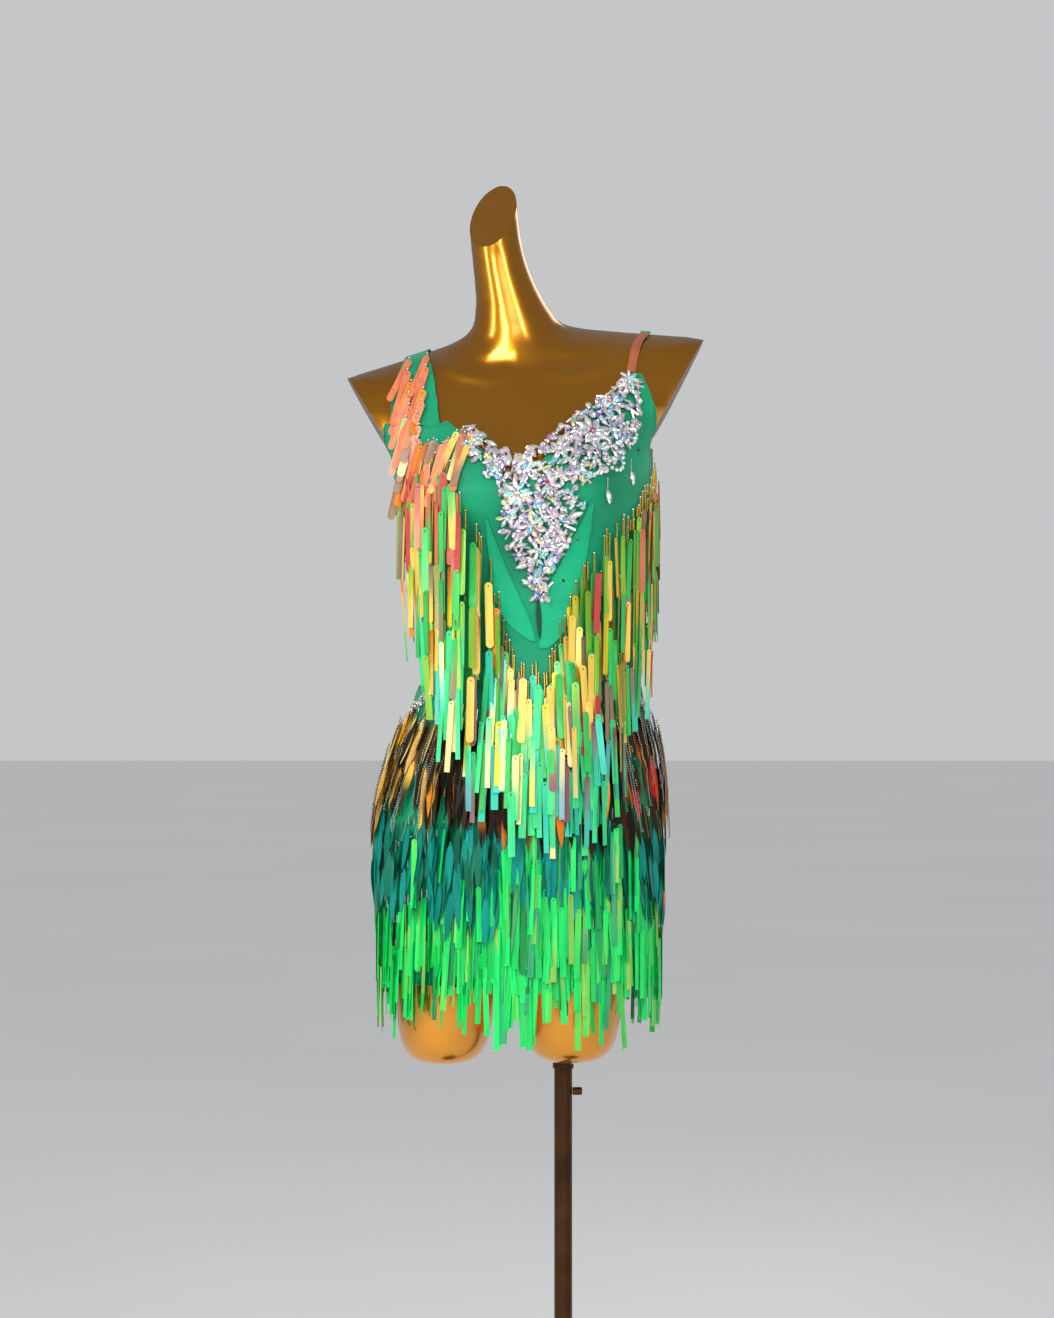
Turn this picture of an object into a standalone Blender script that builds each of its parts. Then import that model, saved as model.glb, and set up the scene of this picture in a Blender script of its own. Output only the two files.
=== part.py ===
"""A salsa dance dress worn by a limbless gold display form on a pole stand.

Metres, +Z up. The Z axis is the pole, the floor is Z = 0, and the dress faces -Y. Left and right are
a viewer's, so "left" is -X.

The form is lofted from a table of rings. Every piece of cloth is a thin wall that follows the form:
its points are found by casting rays at a copy of the form that has been grown outwards by the
distance that the cloth lies away from it. Wraps are cast from an upright line inside the body
(the drum), and shoulder straps from a level line inside the shoulders (the saddle).
"""

import math

import bmesh
import bpy
import numpy as np
from mathutils import Vector
from mathutils.bvhtree import BVHTree

MM = 0.001

# ---- stand ----------------------------------------------------------------------------------
BASE_RADIUS = 0.170
BASE_THICK = 0.012
BASE_EDGE = 0.003
HUB_RADIUS = 0.020
HUB_HEIGHT = 0.040
POLE_RADIUS = 0.0095
POLE_TOP = 0.790
FERRULE_RADIUS = 0.0111
FERRULE_HEIGHT = 0.007
SCREW_HEIGHT = 0.654
SCREW_RADIUS = 0.0042
SCREW_LENGTH = 0.010
FIT_GAP = 0.3 * MM
ROUND_SIDES = 32
SMALL_SIDES = 20

# ---- display form ---------------------------------------------------------------------------
BODY_X = -0.038  # the body's middle line, left of the pole
FORM_SIDES = 36
THIGH_SIDES = 20
PITCH_PIVOT_Y = 0.015

# height of the ring's middle, sway of that middle from BODY_X, half width, y of front and back,
# roll (right side lifted) and pitch (front lowered) in degrees
FORM_RINGS = (
    # height, sway, half, front, back, roll, pitch
    (0.8300, -0.0100, 0.1180, -0.072, 0.080, 0.0, 0.0),
    (0.8545, -0.0095, 0.1390, -0.088, 0.098, 0.0, 0.0),
    (0.8860, -0.0084, 0.1424, -0.097, 0.112, 0.0, 0.0),
    (0.9300, -0.0079, 0.1423, -0.104, 0.117, 0.0, 0.0),
    (0.9600, -0.0063, 0.1392, -0.105, 0.109, 0.0, 0.0),
    (1.0120, -0.0016, 0.1290, -0.101, 0.086, 0.0, 0.0),
    (1.0645, 0.0016, 0.1160, -0.092, 0.069, 0.0, 0.0),
    (1.1013, 0.0063, 0.1085, -0.085, 0.064, 0.0, 0.0),
    (1.1275, 0.0079, 0.1090, -0.085, 0.065, 0.5, 0.0),
    (1.1695, 0.0058, 0.1165, -0.089, 0.072, 1.0, 0.0),
    (1.2115, 0.0026, 0.1245, -0.093, 0.083, 1.6, 0.0),
    (1.2450, 0.0005, 0.1290, -0.095, 0.092, 2.1, 0.0),
    (1.2798, -0.0010, 0.1315, -0.095, 0.098, 2.6, 0.0),
    (1.3297, -0.0047, 0.1350, -0.088, 0.103, 3.6, 1.0),
    (1.3400, -0.0045, 0.1520, -0.084, 0.102, 4.0, 2.0),
    (1.3600, -0.0040, 0.1860, -0.075, 0.099, 4.8, 4.0),
    (1.3850, -0.0035, 0.2020, -0.062, 0.091, 5.8, 8.0),
    (1.4080, -0.0030, 0.2040, -0.048, 0.078, 6.3, 12.0),
    (1.4236, -0.0030, 0.1900, -0.039, 0.066, 6.4, 16.0),
    (1.4310, -0.0035, 0.1500, -0.036, 0.062, 6.4, 18.0),
    (1.4380, -0.0045, 0.1100, -0.034, 0.059, 6.2, 20.0),
    (1.4440, -0.0060, 0.0780, -0.033, 0.057, 5.5, 22.0),
    (1.4510, -0.0085, 0.0570, -0.031, 0.055, 4.0, 23.0),
    (1.4620, -0.0115, 0.0445, -0.029, 0.052, 2.0, 22.0),
    (1.4845, -0.0173, 0.0362, -0.027, 0.047, 0.0, 18.0),
    (1.5213, -0.0273, 0.0294, -0.027, 0.040, -3.0, 12.0),
    (1.5528, -0.0331, 0.0268, -0.029, 0.036, -4.0, 8.0),
    (1.6000, -0.0380, 0.0262, -0.032, 0.034, -4.0, 5.0),
    (1.6500, -0.0420, 0.0260, -0.034, 0.032, -4.0, 5.0),
)

# soft rises on the form: side offset from the middle, height, rise, reach across, reach up and down
BUST = {"side": 0.066, "height": 1.278, "rise": 0.044, "across": 0.037, "up": 0.040, "down": 0.029}
SEAT = {"side": 0.060, "height": 0.915, "rise": 0.014, "across": 0.045, "up": 0.045, "down": 0.040}

# the thighs end in round stubs; the right one holds the pole
THIGH_RINGS_LEFT = (
    # height, sway, half, front, back
    (0.6840, -0.0872, 0.0150, -0.019, 0.019),
    (0.6865, -0.0872, 0.0285, -0.035, 0.035),
    (0.6930, -0.0870, 0.0385, -0.047, 0.048),
    (0.7050, -0.0868, 0.0455, -0.055, 0.057),
    (0.7250, -0.0863, 0.0500, -0.061, 0.064),
    (0.7600, -0.0845, 0.0545, -0.067, 0.072),
    (0.8200, -0.0820, 0.0610, -0.075, 0.085),
    (0.8700, -0.0790, 0.0640, -0.080, 0.093),
    (0.9200, -0.0740, 0.0580, -0.075, 0.088),
)
THIGH_RINGS_RIGHT = (
    (0.6850, 0.0462, 0.0150, -0.019, 0.019),
    (0.6875, 0.0462, 0.0290, -0.035, 0.035),
    (0.6940, 0.0463, 0.0395, -0.047, 0.048),
    (0.7060, 0.0466, 0.0465, -0.055, 0.057),
    (0.7260, 0.0472, 0.0510, -0.061, 0.064),
    (0.7600, 0.0490, 0.0560, -0.067, 0.072),
    (0.8200, 0.0540, 0.0620, -0.075, 0.085),
    (0.8700, 0.0575, 0.0640, -0.080, 0.093),
    (0.9200, 0.0570, 0.0580, -0.075, 0.088),
)

# slanted cuts: a point on the plane, the way the cut face looks, and how far the cut goes below the point
CUTS = {
    "neck": ((BODY_X - 0.0378, 0.0, 1.5684), (-0.70, -1.10, 1.00), 0.090),
    "left_arm": ((BODY_X - 0.1407, 0.0, 1.3218), (-0.863, -0.05, -0.504), 0.001),
    "right_arm": ((BODY_X + 0.1300, 0.0, 1.3375), (0.887, -0.05, -0.461), 0.001),
}
CUT_REACH = 0.200

# ---- cloth ----------------------------------------------------------------------------------
CLOTH = 1.2 * MM
ON_FORM = 2.0 * MM  # from the form to the inside of the cloth that lies on it
ON_CLOTH = 4.2 * MM  # to the inside of what lies on that cloth
SEAM = 0.6 * MM  # half the gap at a seam, measured along the form
WAIST = 1.080  # height of the seam between bodice and skirt
HEM = 0.7737  # bottom of the skirt's base cloth
DRUM_AXIS = (BODY_X, 0.0)
FAR = 0.5
EASE_SAMPLES = 5
LAYER_GAP = 2.4 * MM  # between a layer and the one that it lies over
LOOK_DOWN = 0.018  # how far below a place a layer is already held off by the top of another
SADDLE_AXIS = {"y": 0.015, "height": 1.366}
FORM_LOW = 0.862  # below this the drum's line is between the thighs, so cloth hangs straight

SIDE_LEFT = -90.0  # side seams, in degrees from the front, to the right
SIDE_RIGHT = 90.0
INSERT_LEFT = {"bottom": 13.0, "top": 0.4}  # half widths of the nude side inserts, in degrees
INSERT_RIGHT = {"bottom": 0.8, "top": 7.0}

# top edge of the front between the feet of the straps: across from the middle line, and height
NECKLINE = (
    (-0.0790, 1.3530),
    (-0.0599, 1.3375),
    (-0.0389, 1.3165),
    (-0.0180, 1.2890),
    (-0.0074, 1.2790),
    (0.0040, 1.2920),
    (0.0137, 1.3080),
    (0.0263, 1.3250),
    (0.0399, 1.3417),
    (0.0557, 1.3585),
    (0.0714, 1.3710),
    (0.0872, 1.3827),
    (0.0960, 1.3900),
)
# and between the thin strap and the right underarm
NECKLINE_RIGHT = ((0.1190, 1.3880), (0.1235, 1.3750), (0.1290, 1.3530))
# top edge of the back, from the left side seam to the right one
BACK_TOP = (
    (-0.0740, 1.3270),
    (-0.0620, 1.3060),
    (-0.0490, 1.2790),
    (-0.0350, 1.2560),
    (-0.0190, 1.2370),
    (0.0000, 1.2300),
    (0.0190, 1.2370),
    (0.0350, 1.2540),
    (0.0500, 1.2760),
    (0.0640, 1.3030),
    (0.0750, 1.3230),
)
# across and height of a place on each armhole
ARMHOLE_LEFT = (-0.1355, 1.3240)
ARMHOLE_LEFT_BACK = (-0.1290, 1.3200)
ARMHOLE_RIGHT_BACK = (0.1200, 1.3330)
UNDERARM_LEFT = 1.3130
UNDERARM_RIGHT = 1.3270

# nude gusset in the bottom of the V: across, bottom height, top height
GUSSET = (
    (-0.0240, 1.2990, 1.3010),
    (-0.0160, 1.2885, 1.2965),
    (-0.0074, 1.2810, 1.2945),
    (0.0020, 1.2915, 1.2965),
    (0.0075, 1.2995, 1.3015),
)

# leaf-shaped bands that meet under the applique: height, outer edge, inner edge (across)
BAND_LEFT = (
    (1.2430, -0.0370, -0.0350),
    (1.2120, -0.0365, -0.0260),
    (1.1900, -0.0345, -0.0160),
    (1.1690, -0.0320, -0.0070),
    (1.1500, -0.0240, 0.0015),
    (1.1370, -0.0130, 0.0060),
    (1.1260, 0.0030, 0.0078),
)
BAND_RIGHT = (
    (1.2640, 0.0640, 0.0620),
    (1.2330, 0.0610, 0.0480),
    (1.2000, 0.0560, 0.0310),
    (1.1690, 0.0490, 0.0130),
    (1.1500, 0.0430, 0.0112),
    (1.1340, 0.0370, 0.0108),
    (1.1190, 0.0220, 0.0120),
)

# crystal applique round the neckline: top across and height, bottom across and height
APPLIQUE = (
    (-0.0530, 1.3330, -0.0520, 1.3240),
    (-0.0450, 1.3240, -0.0430, 1.3050),
    (-0.0370, 1.3150, -0.0350, 1.2860),
    (-0.0290, 1.3050, -0.0270, 1.2660),
    (-0.0200, 1.2940, -0.0230, 1.2420),
    (-0.0120, 1.2860, -0.0130, 1.2150),
    (-0.0060, 1.2800, 0.0000, 1.1860),
    (0.0000, 1.2890, 0.0120, 1.1640),
    (0.0080, 1.2990, 0.0250, 1.1850),
    (0.0170, 1.3120, 0.0360, 1.2100),
    (0.0300, 1.3290, 0.0500, 1.2350),
    (0.0430, 1.3440, 0.0640, 1.2600),
    (0.0570, 1.3580, 0.0800, 1.2770),
    (0.0720, 1.3700, 0.0940, 1.2960),
    (0.0850, 1.3800, 0.1040, 1.3220),
    (0.0960, 1.3895, 0.1130, 1.3500),
    (0.1050, 1.3960, 0.1170, 1.3760),
)
APPLIQUE_THICK = 4.0 * MM
APPLIQUE_ROWS = 6

# crystal trims on the hips, just above the top of the fringe: angle from the front, height of the
# lower edge, width
HIP_TRIM_LEFT = (
    (-58.0, 1.0660, 0.008),
    (-66.0, 1.0600, 0.012),
    (-74.0, 1.0500, 0.013),
    (-82.0, 1.0360, 0.013),
    (-90.0, 1.0200, 0.012),
    (-98.0, 1.0050, 0.010),
    (-106.0, 0.9930, 0.008),
)
HIP_TRIM_RIGHT = (
    (72.0, 1.0620, 0.006),
    (80.0, 1.0500, 0.009),
    (88.0, 1.0340, 0.009),
    (96.0, 1.0170, 0.008),
    (104.0, 1.0020, 0.006),
)
TRIM_THICK = 2.4 * MM

# the wide left strap: degrees over the shoulder from level front, outer edge, inner edge (across)
STRAP_WIDE = (
    (-12.0, -0.1400, -0.0900),
    (4.0, -0.1395, -0.0925),
    (20.0, -0.1380, -0.0950),
    (45.0, -0.1335, -0.0985),
    (70.0, -0.1300, -0.1030),
    (95.0, -0.1270, -0.1050),
    (120.0, -0.1230, -0.1010),
    (150.0, -0.1190, -0.0930),
    (175.0, -0.1155, -0.0865),
    (192.0, -0.1150, -0.0850),
)
STRAP_THIN_WIDTH = 0.008
# middle of the thin right strap: degrees over the shoulder, across
STRAP_THIN = ((34.0, 0.1075), (46.0, 0.1095), (58.0, 0.1125), (72.0, 0.1170), (88.0, 0.1240))
STRAP_THIN_BACK = (
    (92.0, 0.1255),
    (112.0, 0.1250),
    (135.0, 0.1180),
    (160.0, 0.1060),
    (180.0, 0.0960),
    (194.0, 0.0900),
)
STRAP_STEP = 9.0  # most degrees between rows of a strap

# fringes: each is a plain wall of the strands' reach. angle from the front, top, bottom
FRINGE_FRONT = (
    (-104.0, 1.2860, 1.2560),
    (-92.0, 1.2890, 1.2380),
    (-80.0, 1.2960, 1.2110),
    (-70.0, 1.3070, 1.1800),
    (-60.0, 1.3150, 1.1480),
    (-50.0, 1.3130, 1.1060),
    (-42.0, 1.3050, 1.0750),
    (-33.0, 1.2880, 1.0330),
    (-23.0, 1.2280, 0.9860),
    (-16.0, 1.1640, 0.9700),
    (-8.0, 1.1180, 0.9540),
    (0.0, 1.1040, 0.9440),
    (8.0, 1.1080, 0.9350),
    (16.0, 1.1250, 0.9290),
    (24.0, 1.1700, 0.9320),
    (31.0, 1.2150, 0.9480),
    (38.0, 1.2400, 0.9620),
    (46.0, 1.2540, 1.0000),
    (55.0, 1.2700, 1.0430),
    (64.0, 1.2920, 1.0750),
    (74.0, 1.3100, 1.1060),
    (84.0, 1.3180, 1.1700),
    (94.0, 1.3200, 1.2300),
    (104.0, 1.3100, 1.2600),
)
FRINGE_BACK = (
    (106.0, 1.3080, 1.2580),
    (114.0, 1.3030, 1.2240),
    (122.0, 1.2980, 1.1800),
    (131.0, 1.2900, 1.1300),
    (142.0, 1.2700, 1.0750),
    (155.0, 1.2300, 1.0250),
    (168.0, 1.2050, 0.9950),
    (180.0, 1.1980, 0.9850),
    (192.0, 1.2050, 0.9950),
    (205.0, 1.2300, 1.0250),
    (218.0, 1.2700, 1.0750),
    (229.0, 1.2850, 1.1300),
    (238.0, 1.2880, 1.1800),
    (246.0, 1.2910, 1.2240),
    (254.0, 1.2930, 1.2580),
)
FRINGE_THICK = 4.0 * MM

# the skirt's tiers, from the lowest: top, bottom, how much further out at the bottom, thickness
TIERS = (
    ("tier_green", "neon_sequin", 0.8760, 0.7140, 0.6 * MM, 2.2 * MM),
    ("tier_teal", "teal_sequin", 0.9640, 0.8180, 2.0 * MM, 2.0 * MM),
    ("tier_bronze", "bronze_sequin", 1.0560, 0.9050, 3.0 * MM, 2.2 * MM),
)
TIER_ROWS = 5
# the top of the bronze tier follows the hip trims: angle from the front, drop below its height
BRONZE_TOP = (
    (-180.0, 0.000),
    (-166.0, 0.000),
    (-152.0, 0.000),
    (-138.0, 0.000),
    (-124.0, 0.022),
    (-112.0, 0.065),
    (-106.0, 0.066),
    (-98.0, 0.054),
    (-90.0, 0.039),
    (-82.0, 0.023),
    (-74.0, 0.009),
    (-66.0, 0.000),
    (-55.0, 0.000),
    (-44.0, 0.000),
    (-33.0, 0.000),
    (-22.0, 0.000),
    (-11.0, 0.000),
    (0.0, 0.000),
    (11.0, 0.000),
    (22.0, 0.000),
    (33.0, 0.000),
    (44.0, 0.000),
    (55.0, 0.000),
    (66.0, 0.000),
    (74.0, 0.002),
    (82.0, 0.013),
    (90.0, 0.029),
    (98.0, 0.046),
    (106.0, 0.060),
    (112.0, 0.060),
    (124.0, 0.022),
    (138.0, 0.000),
    (152.0, 0.000),
    (166.0, 0.000),
)

# strand fringe on the wide strap: degrees over the shoulder, outer, inner
STRAP_FRINGE = (
    (-8.0, -0.1330, -0.0980),
    (12.0, -0.1350, -0.0985),
    (32.0, -0.1330, -0.1010),
    (52.0, -0.1290, -0.1050),
    (70.0, -0.1265, -0.1090),
)

MATERIALS = {
    # colour, roughness, metallic
    "gold": ((0.55, 0.30, 0.045), 0.22, 0.9),
    "steel": ((0.30, 0.22, 0.14), 0.30, 1.0),
    "green_cloth": ((0.0, 0.36, 0.20), 0.55, 0.0),
    "green_mesh": ((0.01, 0.44, 0.27), 0.60, 0.0),
    "nude_mesh": ((0.42, 0.15, 0.06), 0.60, 0.0),
    "crystal": ((0.80, 0.78, 0.86), 0.05, 0.0),
    "strips": ((0.25, 0.75, 0.25), 0.20, 0.3),
    "bronze_sequin": ((0.10, 0.05, 0.02), 0.15, 0.8),
    "teal_sequin": ((0.0, 0.26, 0.22), 0.20, 0.5),
    "neon_sequin": ((0.0, 0.80, 0.22), 0.20, 0.3),
}


def clear_scene():
    for obj in list(bpy.data.objects):
        bpy.data.objects.remove(obj, do_unlink=True)


def material(name):
    found = bpy.data.materials.get(name)
    if found:
        return found
    colour, roughness, metallic = MATERIALS[name]
    made = bpy.data.materials.new(name)
    made.use_nodes = True
    shader = made.node_tree.nodes["Principled BSDF"]
    shader.inputs["Base Color"].default_value = (*colour, 1.0)
    shader.inputs["Roughness"].default_value = roughness
    shader.inputs["Metallic"].default_value = metallic
    return made


def new_object(name, mesh, slot, smooth_angle=40.0):
    obj = bpy.data.objects.new(name, mesh)
    bpy.context.scene.collection.objects.link(obj)
    mesh.materials.append(material(slot))
    mesh.shade_smooth()
    mesh.set_sharp_from_angle(angle=math.radians(smooth_angle))
    return obj


def mesh_of(name, points, faces):
    mesh = bpy.data.meshes.new(name)
    mesh.from_pydata([tuple(p) for p in points], [], faces)
    mesh.update()
    return mesh


def smooth_value(knots, values, at):
    """A monotone cubic through the knots, so that a column of a table never overshoots."""
    knots, values = np.asarray(knots, float), np.asarray(values, float)
    step = np.diff(knots)
    slope = np.diff(values) / step
    tangent = np.zeros(len(knots))
    tangent[0], tangent[-1] = slope[0], slope[-1]
    for i in range(1, len(knots) - 1):
        if slope[i - 1] * slope[i] > 0:
            tangent[i] = 2 * slope[i - 1] * slope[i] / (slope[i - 1] + slope[i])
    i = int(np.clip(np.searchsorted(knots, at) - 1, 0, len(step) - 1))
    t = float(np.clip((at - knots[i]) / step[i], 0, 1))
    return (
        values[i] * (1 + 2 * t) * (1 - t) ** 2
        + tangent[i] * step[i] * t * (1 - t) ** 2
        + values[i + 1] * t * t * (3 - 2 * t)
        + tangent[i + 1] * step[i] * t * t * (t - 1)
    )


def spread_heights(table, most_step):
    """The table's own heights, with more between those that are further apart than most_step."""
    heights = [row[0] for row in table]
    out = [heights[0]]
    for low, high in zip(heights, heights[1:]):
        parts = max(1, math.ceil((high - low) / most_step - 1e-6))
        out += [low + (high - low) * k / parts for k in range(1, parts + 1)]
    return out


def rise_at(rise, across, height):
    """How far a pair of soft rises lifts the surface at this place."""
    reach = rise["up"] if height > rise["height"] else rise["down"]
    up = ((height - rise["height"]) / reach) ** 2
    return sum(
        rise["rise"] * math.exp(-0.5 * (((across - side) / rise["across"]) ** 2 + up))
        for side in (-rise["side"], rise["side"])
    )


def ring_of(table, height, sides, rises=()):
    """One ring of a loft, anticlockwise from above, starting at the right."""
    heights = [row[0] for row in table]
    columns = [smooth_value(heights, column, height) for column in list(zip(*table))[1:]]
    sway, half, front, back = columns[:4]
    roll, pitch = (math.radians(c) for c in columns[4:]) if len(columns) > 4 else (0.0, 0.0)
    middle_y, deep = (front + back) / 2, (back - front) / 2
    points = []
    for k in range(sides):
        turn = 2 * math.pi * k / sides
        across, y = half * math.cos(turn), middle_y + deep * math.sin(turn)
        for rise, facing in rises:
            share = max(0.0, facing * math.sin(turn)) ** 0.5
            y += facing * share * rise_at(rise, across, height)
        lift = across * math.sin(roll) + (y - PITCH_PIVOT_Y) * math.sin(pitch)
        points.append((BODY_X + sway + across * math.cos(roll), y, height + lift))
    return points


def loft(name, rings):
    """A closed skin through rings that have the same number of points."""
    sides = len(rings[0])
    faces = [
        (r * sides + k, r * sides + (k + 1) % sides, (r + 1) * sides + (k + 1) % sides, (r + 1) * sides + k)
        for r in range(len(rings) - 1)
        for k in range(sides)
    ]
    faces.append(tuple(reversed(range(sides))))
    faces.append(tuple(range((len(rings) - 1) * sides, len(rings) * sides)))
    return mesh_of(name, [p for ring in rings for p in ring], faces)


def boolean(obj, other, operation):
    """Joins or cuts with another object, which is then removed."""
    step = obj.modifiers.new(operation.lower(), "BOOLEAN")
    step.operation = operation
    step.solver = "EXACT"
    step.object = other
    graph = bpy.context.evaluated_depsgraph_get()
    mesh = bpy.data.meshes.new_from_object(obj.evaluated_get(graph))
    obj.modifiers.remove(step)
    obj.data = mesh
    bpy.data.objects.remove(other, do_unlink=True)


def cut_flat(obj, point, facing, below):
    """Takes away what lies beyond the plane, with a box that starts this far below the point."""
    facing = Vector(facing).normalized()
    up = (Vector((0, 0, 1)) - facing * facing.z).normalized()
    side = up.cross(facing)
    corners = [
        Vector(point) + facing * out + up * rise + side * across
        for out in (0.0, CUT_REACH)
        for rise in (-below, CUT_REACH)
        for across in (-CUT_REACH, CUT_REACH)
    ]
    faces = [(0, 1, 3, 2), (4, 6, 7, 5), (0, 4, 5, 1), (2, 3, 7, 6), (0, 2, 6, 4), (1, 5, 7, 3)]
    mesh = mesh_of(obj.name + "_cut", corners, faces)
    bm = bmesh.new()
    bm.from_mesh(mesh)
    bmesh.ops.recalc_face_normals(bm, faces=bm.faces[:])
    bm.to_mesh(mesh)
    bm.free()
    boolean(obj, new_object(obj.name + "_cut", mesh, "gold"), "DIFFERENCE")


def cylinder(
    name, radius, low, high, slot, axis="Z", at=(0.0, 0.0), bevel=0.0, sides=ROUND_SIDES
):
    """A round bar between two places on its axis."""
    bm = bmesh.new()
    bmesh.ops.create_cone(
        bm, cap_ends=True, segments=sides, radius1=radius, radius2=radius, depth=high - low
    )
    if bevel:
        ends = [e for e in bm.edges if abs(abs(e.verts[0].co.z) - (high - low) / 2) < 1e-9
                and abs(e.verts[0].co.z - e.verts[1].co.z) < 1e-9]
        bmesh.ops.bevel(bm, geom=ends, offset=bevel, segments=1, affect="EDGES")
    mesh = bpy.data.meshes.new(name)
    bm.to_mesh(mesh)
    bm.free()
    obj = new_object(name, mesh, slot)
    middle = (low + high) / 2
    if axis == "X":
        obj.rotation_euler = (0.0, math.pi / 2, 0.0)
        obj.location = (middle, at[0], at[1])
    else:
        obj.location = (at[0], at[1], middle)
    return obj


def ring_bar(name, inner, outer, low, high, slot):
    """A round collar about the pole: an outer bar with its bore cut through."""
    obj = cylinder(name, outer, low, high, slot, bevel=0.6 * MM, sides=SMALL_SIDES)
    bore = cylinder(name + "_bore", inner, low - 0.01, high + 0.01, slot, sides=SMALL_SIDES)
    boolean(obj, bore, "DIFFERENCE")
    return obj


# ---- the form and its stand -------------------------------------------------------------------
def make_form():
    """The torso with its neck and arms cut at a slant, its two thigh stubs, and a bore for the pole."""
    rises = ((BUST, -1), (SEAT, 1))
    rings = [ring_of(FORM_RINGS, h, FORM_SIDES, rises) for h in spread_heights(FORM_RINGS, 0.030)]
    form = new_object("form_torso", loft("form_torso", rings), "gold", smooth_angle=50.0)
    for point, facing, below in CUTS.values():
        cut_flat(form, point, facing, below)
    for side, table in (("left", THIGH_RINGS_LEFT), ("right", THIGH_RINGS_RIGHT)):
        rings = [ring_of(table, h, THIGH_SIDES) for h in spread_heights(table, 0.060)]
        thigh = new_object("thigh_" + side, loft("thigh_" + side, rings), "gold")
        boolean(form, thigh, "UNION")
    bore = cylinder(
        "pole_bore", POLE_RADIUS + FIT_GAP, 0.600, POLE_TOP + FIT_GAP, "gold", sides=SMALL_SIDES
    )
    boolean(form, bore, "DIFFERENCE")
    return form


def make_stand():
    plate = cylinder("base_plate", BASE_RADIUS, 0.0, BASE_THICK, "steel", bevel=BASE_EDGE)
    plate.data.set_sharp_from_angle(angle=math.radians(30))
    ring_bar(
        "base_hub", POLE_RADIUS + FIT_GAP, HUB_RADIUS, BASE_THICK + FIT_GAP, BASE_THICK + HUB_HEIGHT, "steel"
    )
    cylinder("pole", POLE_RADIUS, BASE_THICK + FIT_GAP, POLE_TOP, "steel", sides=SMALL_SIDES)
    stub = THIGH_RINGS_RIGHT[0][0]
    ring_bar(
        "pole_ferrule",
        POLE_RADIUS + FIT_GAP,
        FERRULE_RADIUS,
        stub - FERRULE_HEIGHT - FIT_GAP,
        stub - FIT_GAP,
        "steel",
    )
    start = POLE_RADIUS + FIT_GAP
    cylinder(
        "thumbscrew",
        SCREW_RADIUS,
        start,
        start + SCREW_LENGTH,
        "steel",
        axis="X",
        at=(0.0, SCREW_HEIGHT),
        bevel=0.8 * MM,
        sides=SMALL_SIDES,
    )


# ---- finding places round the form -------------------------------------------------------------
class Body:
    """The form grown outwards by any distance, and rays cast at it."""

    def __init__(self, form):
        bm = bmesh.new()
        bm.from_mesh(form.data)
        bmesh.ops.remove_doubles(bm, verts=bm.verts[:], dist=1e-5)
        bmesh.ops.triangulate(bm, faces=bm.faces[:])
        bm.normal_update()
        bm.verts.index_update()
        self.points = [v.co.copy() for v in bm.verts]
        self.normals = [v.normal.copy() for v in bm.verts]
        self.faces = [tuple(v.index for v in f.verts) for f in bm.faces]
        bm.free()
        self.trees = {}
        self.covers = None

    def cover(self, *names):
        """From here on, what is cast from the drum's line also lies over these pieces."""
        points, faces = [], []
        for name in names:
            mesh = bpy.data.objects[name].data
            start = len(points)
            points += [v.co.copy() for v in mesh.vertices]
            faces += [tuple(start + i for i in f.vertices) for f in mesh.polygons]
        self.covers = BVHTree.FromPolygons(points, faces)

    def tree(self, away):
        key = round(away, 6)
        if key not in self.trees:
            grown = [p + n * away for p, n in zip(self.points, self.normals)]
            self.trees[key] = BVHTree.FromPolygons(grown, self.faces)
        return self.trees[key]

    def cast(self, start, direction, away):
        return self.tree(away).ray_cast(Vector(start), Vector(direction).normalized())[0]

    def radius(self, angle, height, away):
        """Distance from the drum's line to the grown form."""
        turn = math.radians(angle)
        start = (*DRUM_AXIS, max(height, FORM_LOW))
        outward = Vector((math.sin(turn), -math.cos(turn), 0.0))
        hit = self.cast(start, outward, away)
        radius = math.hypot(hit.x - DRUM_AXIS[0], hit.y - DRUM_AXIS[1])
        if self.covers:
            for level in (height, height - LOOK_DOWN):
                hit = self.covers.ray_cast(drum_point(angle, level, FAR), -outward, FAR)[0]
                if hit:
                    covered = math.hypot(hit.x - DRUM_AXIS[0], hit.y - DRUM_AXIS[1])
                    radius = max(radius, covered + LAYER_GAP)
        return radius

    def angle_at(self, across, height, facing, away=ON_FORM):
        """Drum angle of the place on the front (facing 1) or back (-1) that is seen at this place."""
        start = (BODY_X + across, -facing, height)
        hit = self.cast(start, (0.0, facing, 0.0), away)
        turn = math.degrees(math.atan2(hit.x - DRUM_AXIS[0], -(hit.y - DRUM_AXIS[1])))
        return turn if facing > 0 or turn > 0 else turn + 360


def drum_point(angle, height, radius):
    turn = math.radians(angle)
    return Vector(
        (DRUM_AXIS[0] + radius * math.sin(turn), DRUM_AXIS[1] - radius * math.cos(turn), height)
    )


def saddle_point(body, degrees, across, away):
    """The place over the shoulder at this many degrees from level front, over the top to the back."""
    turn = math.radians(degrees)
    start = (BODY_X + across, SADDLE_AXIS["y"], SADDLE_AXIS["height"])
    return body.cast(start, (0.0, -math.cos(turn), math.sin(turn)), away)


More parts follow.
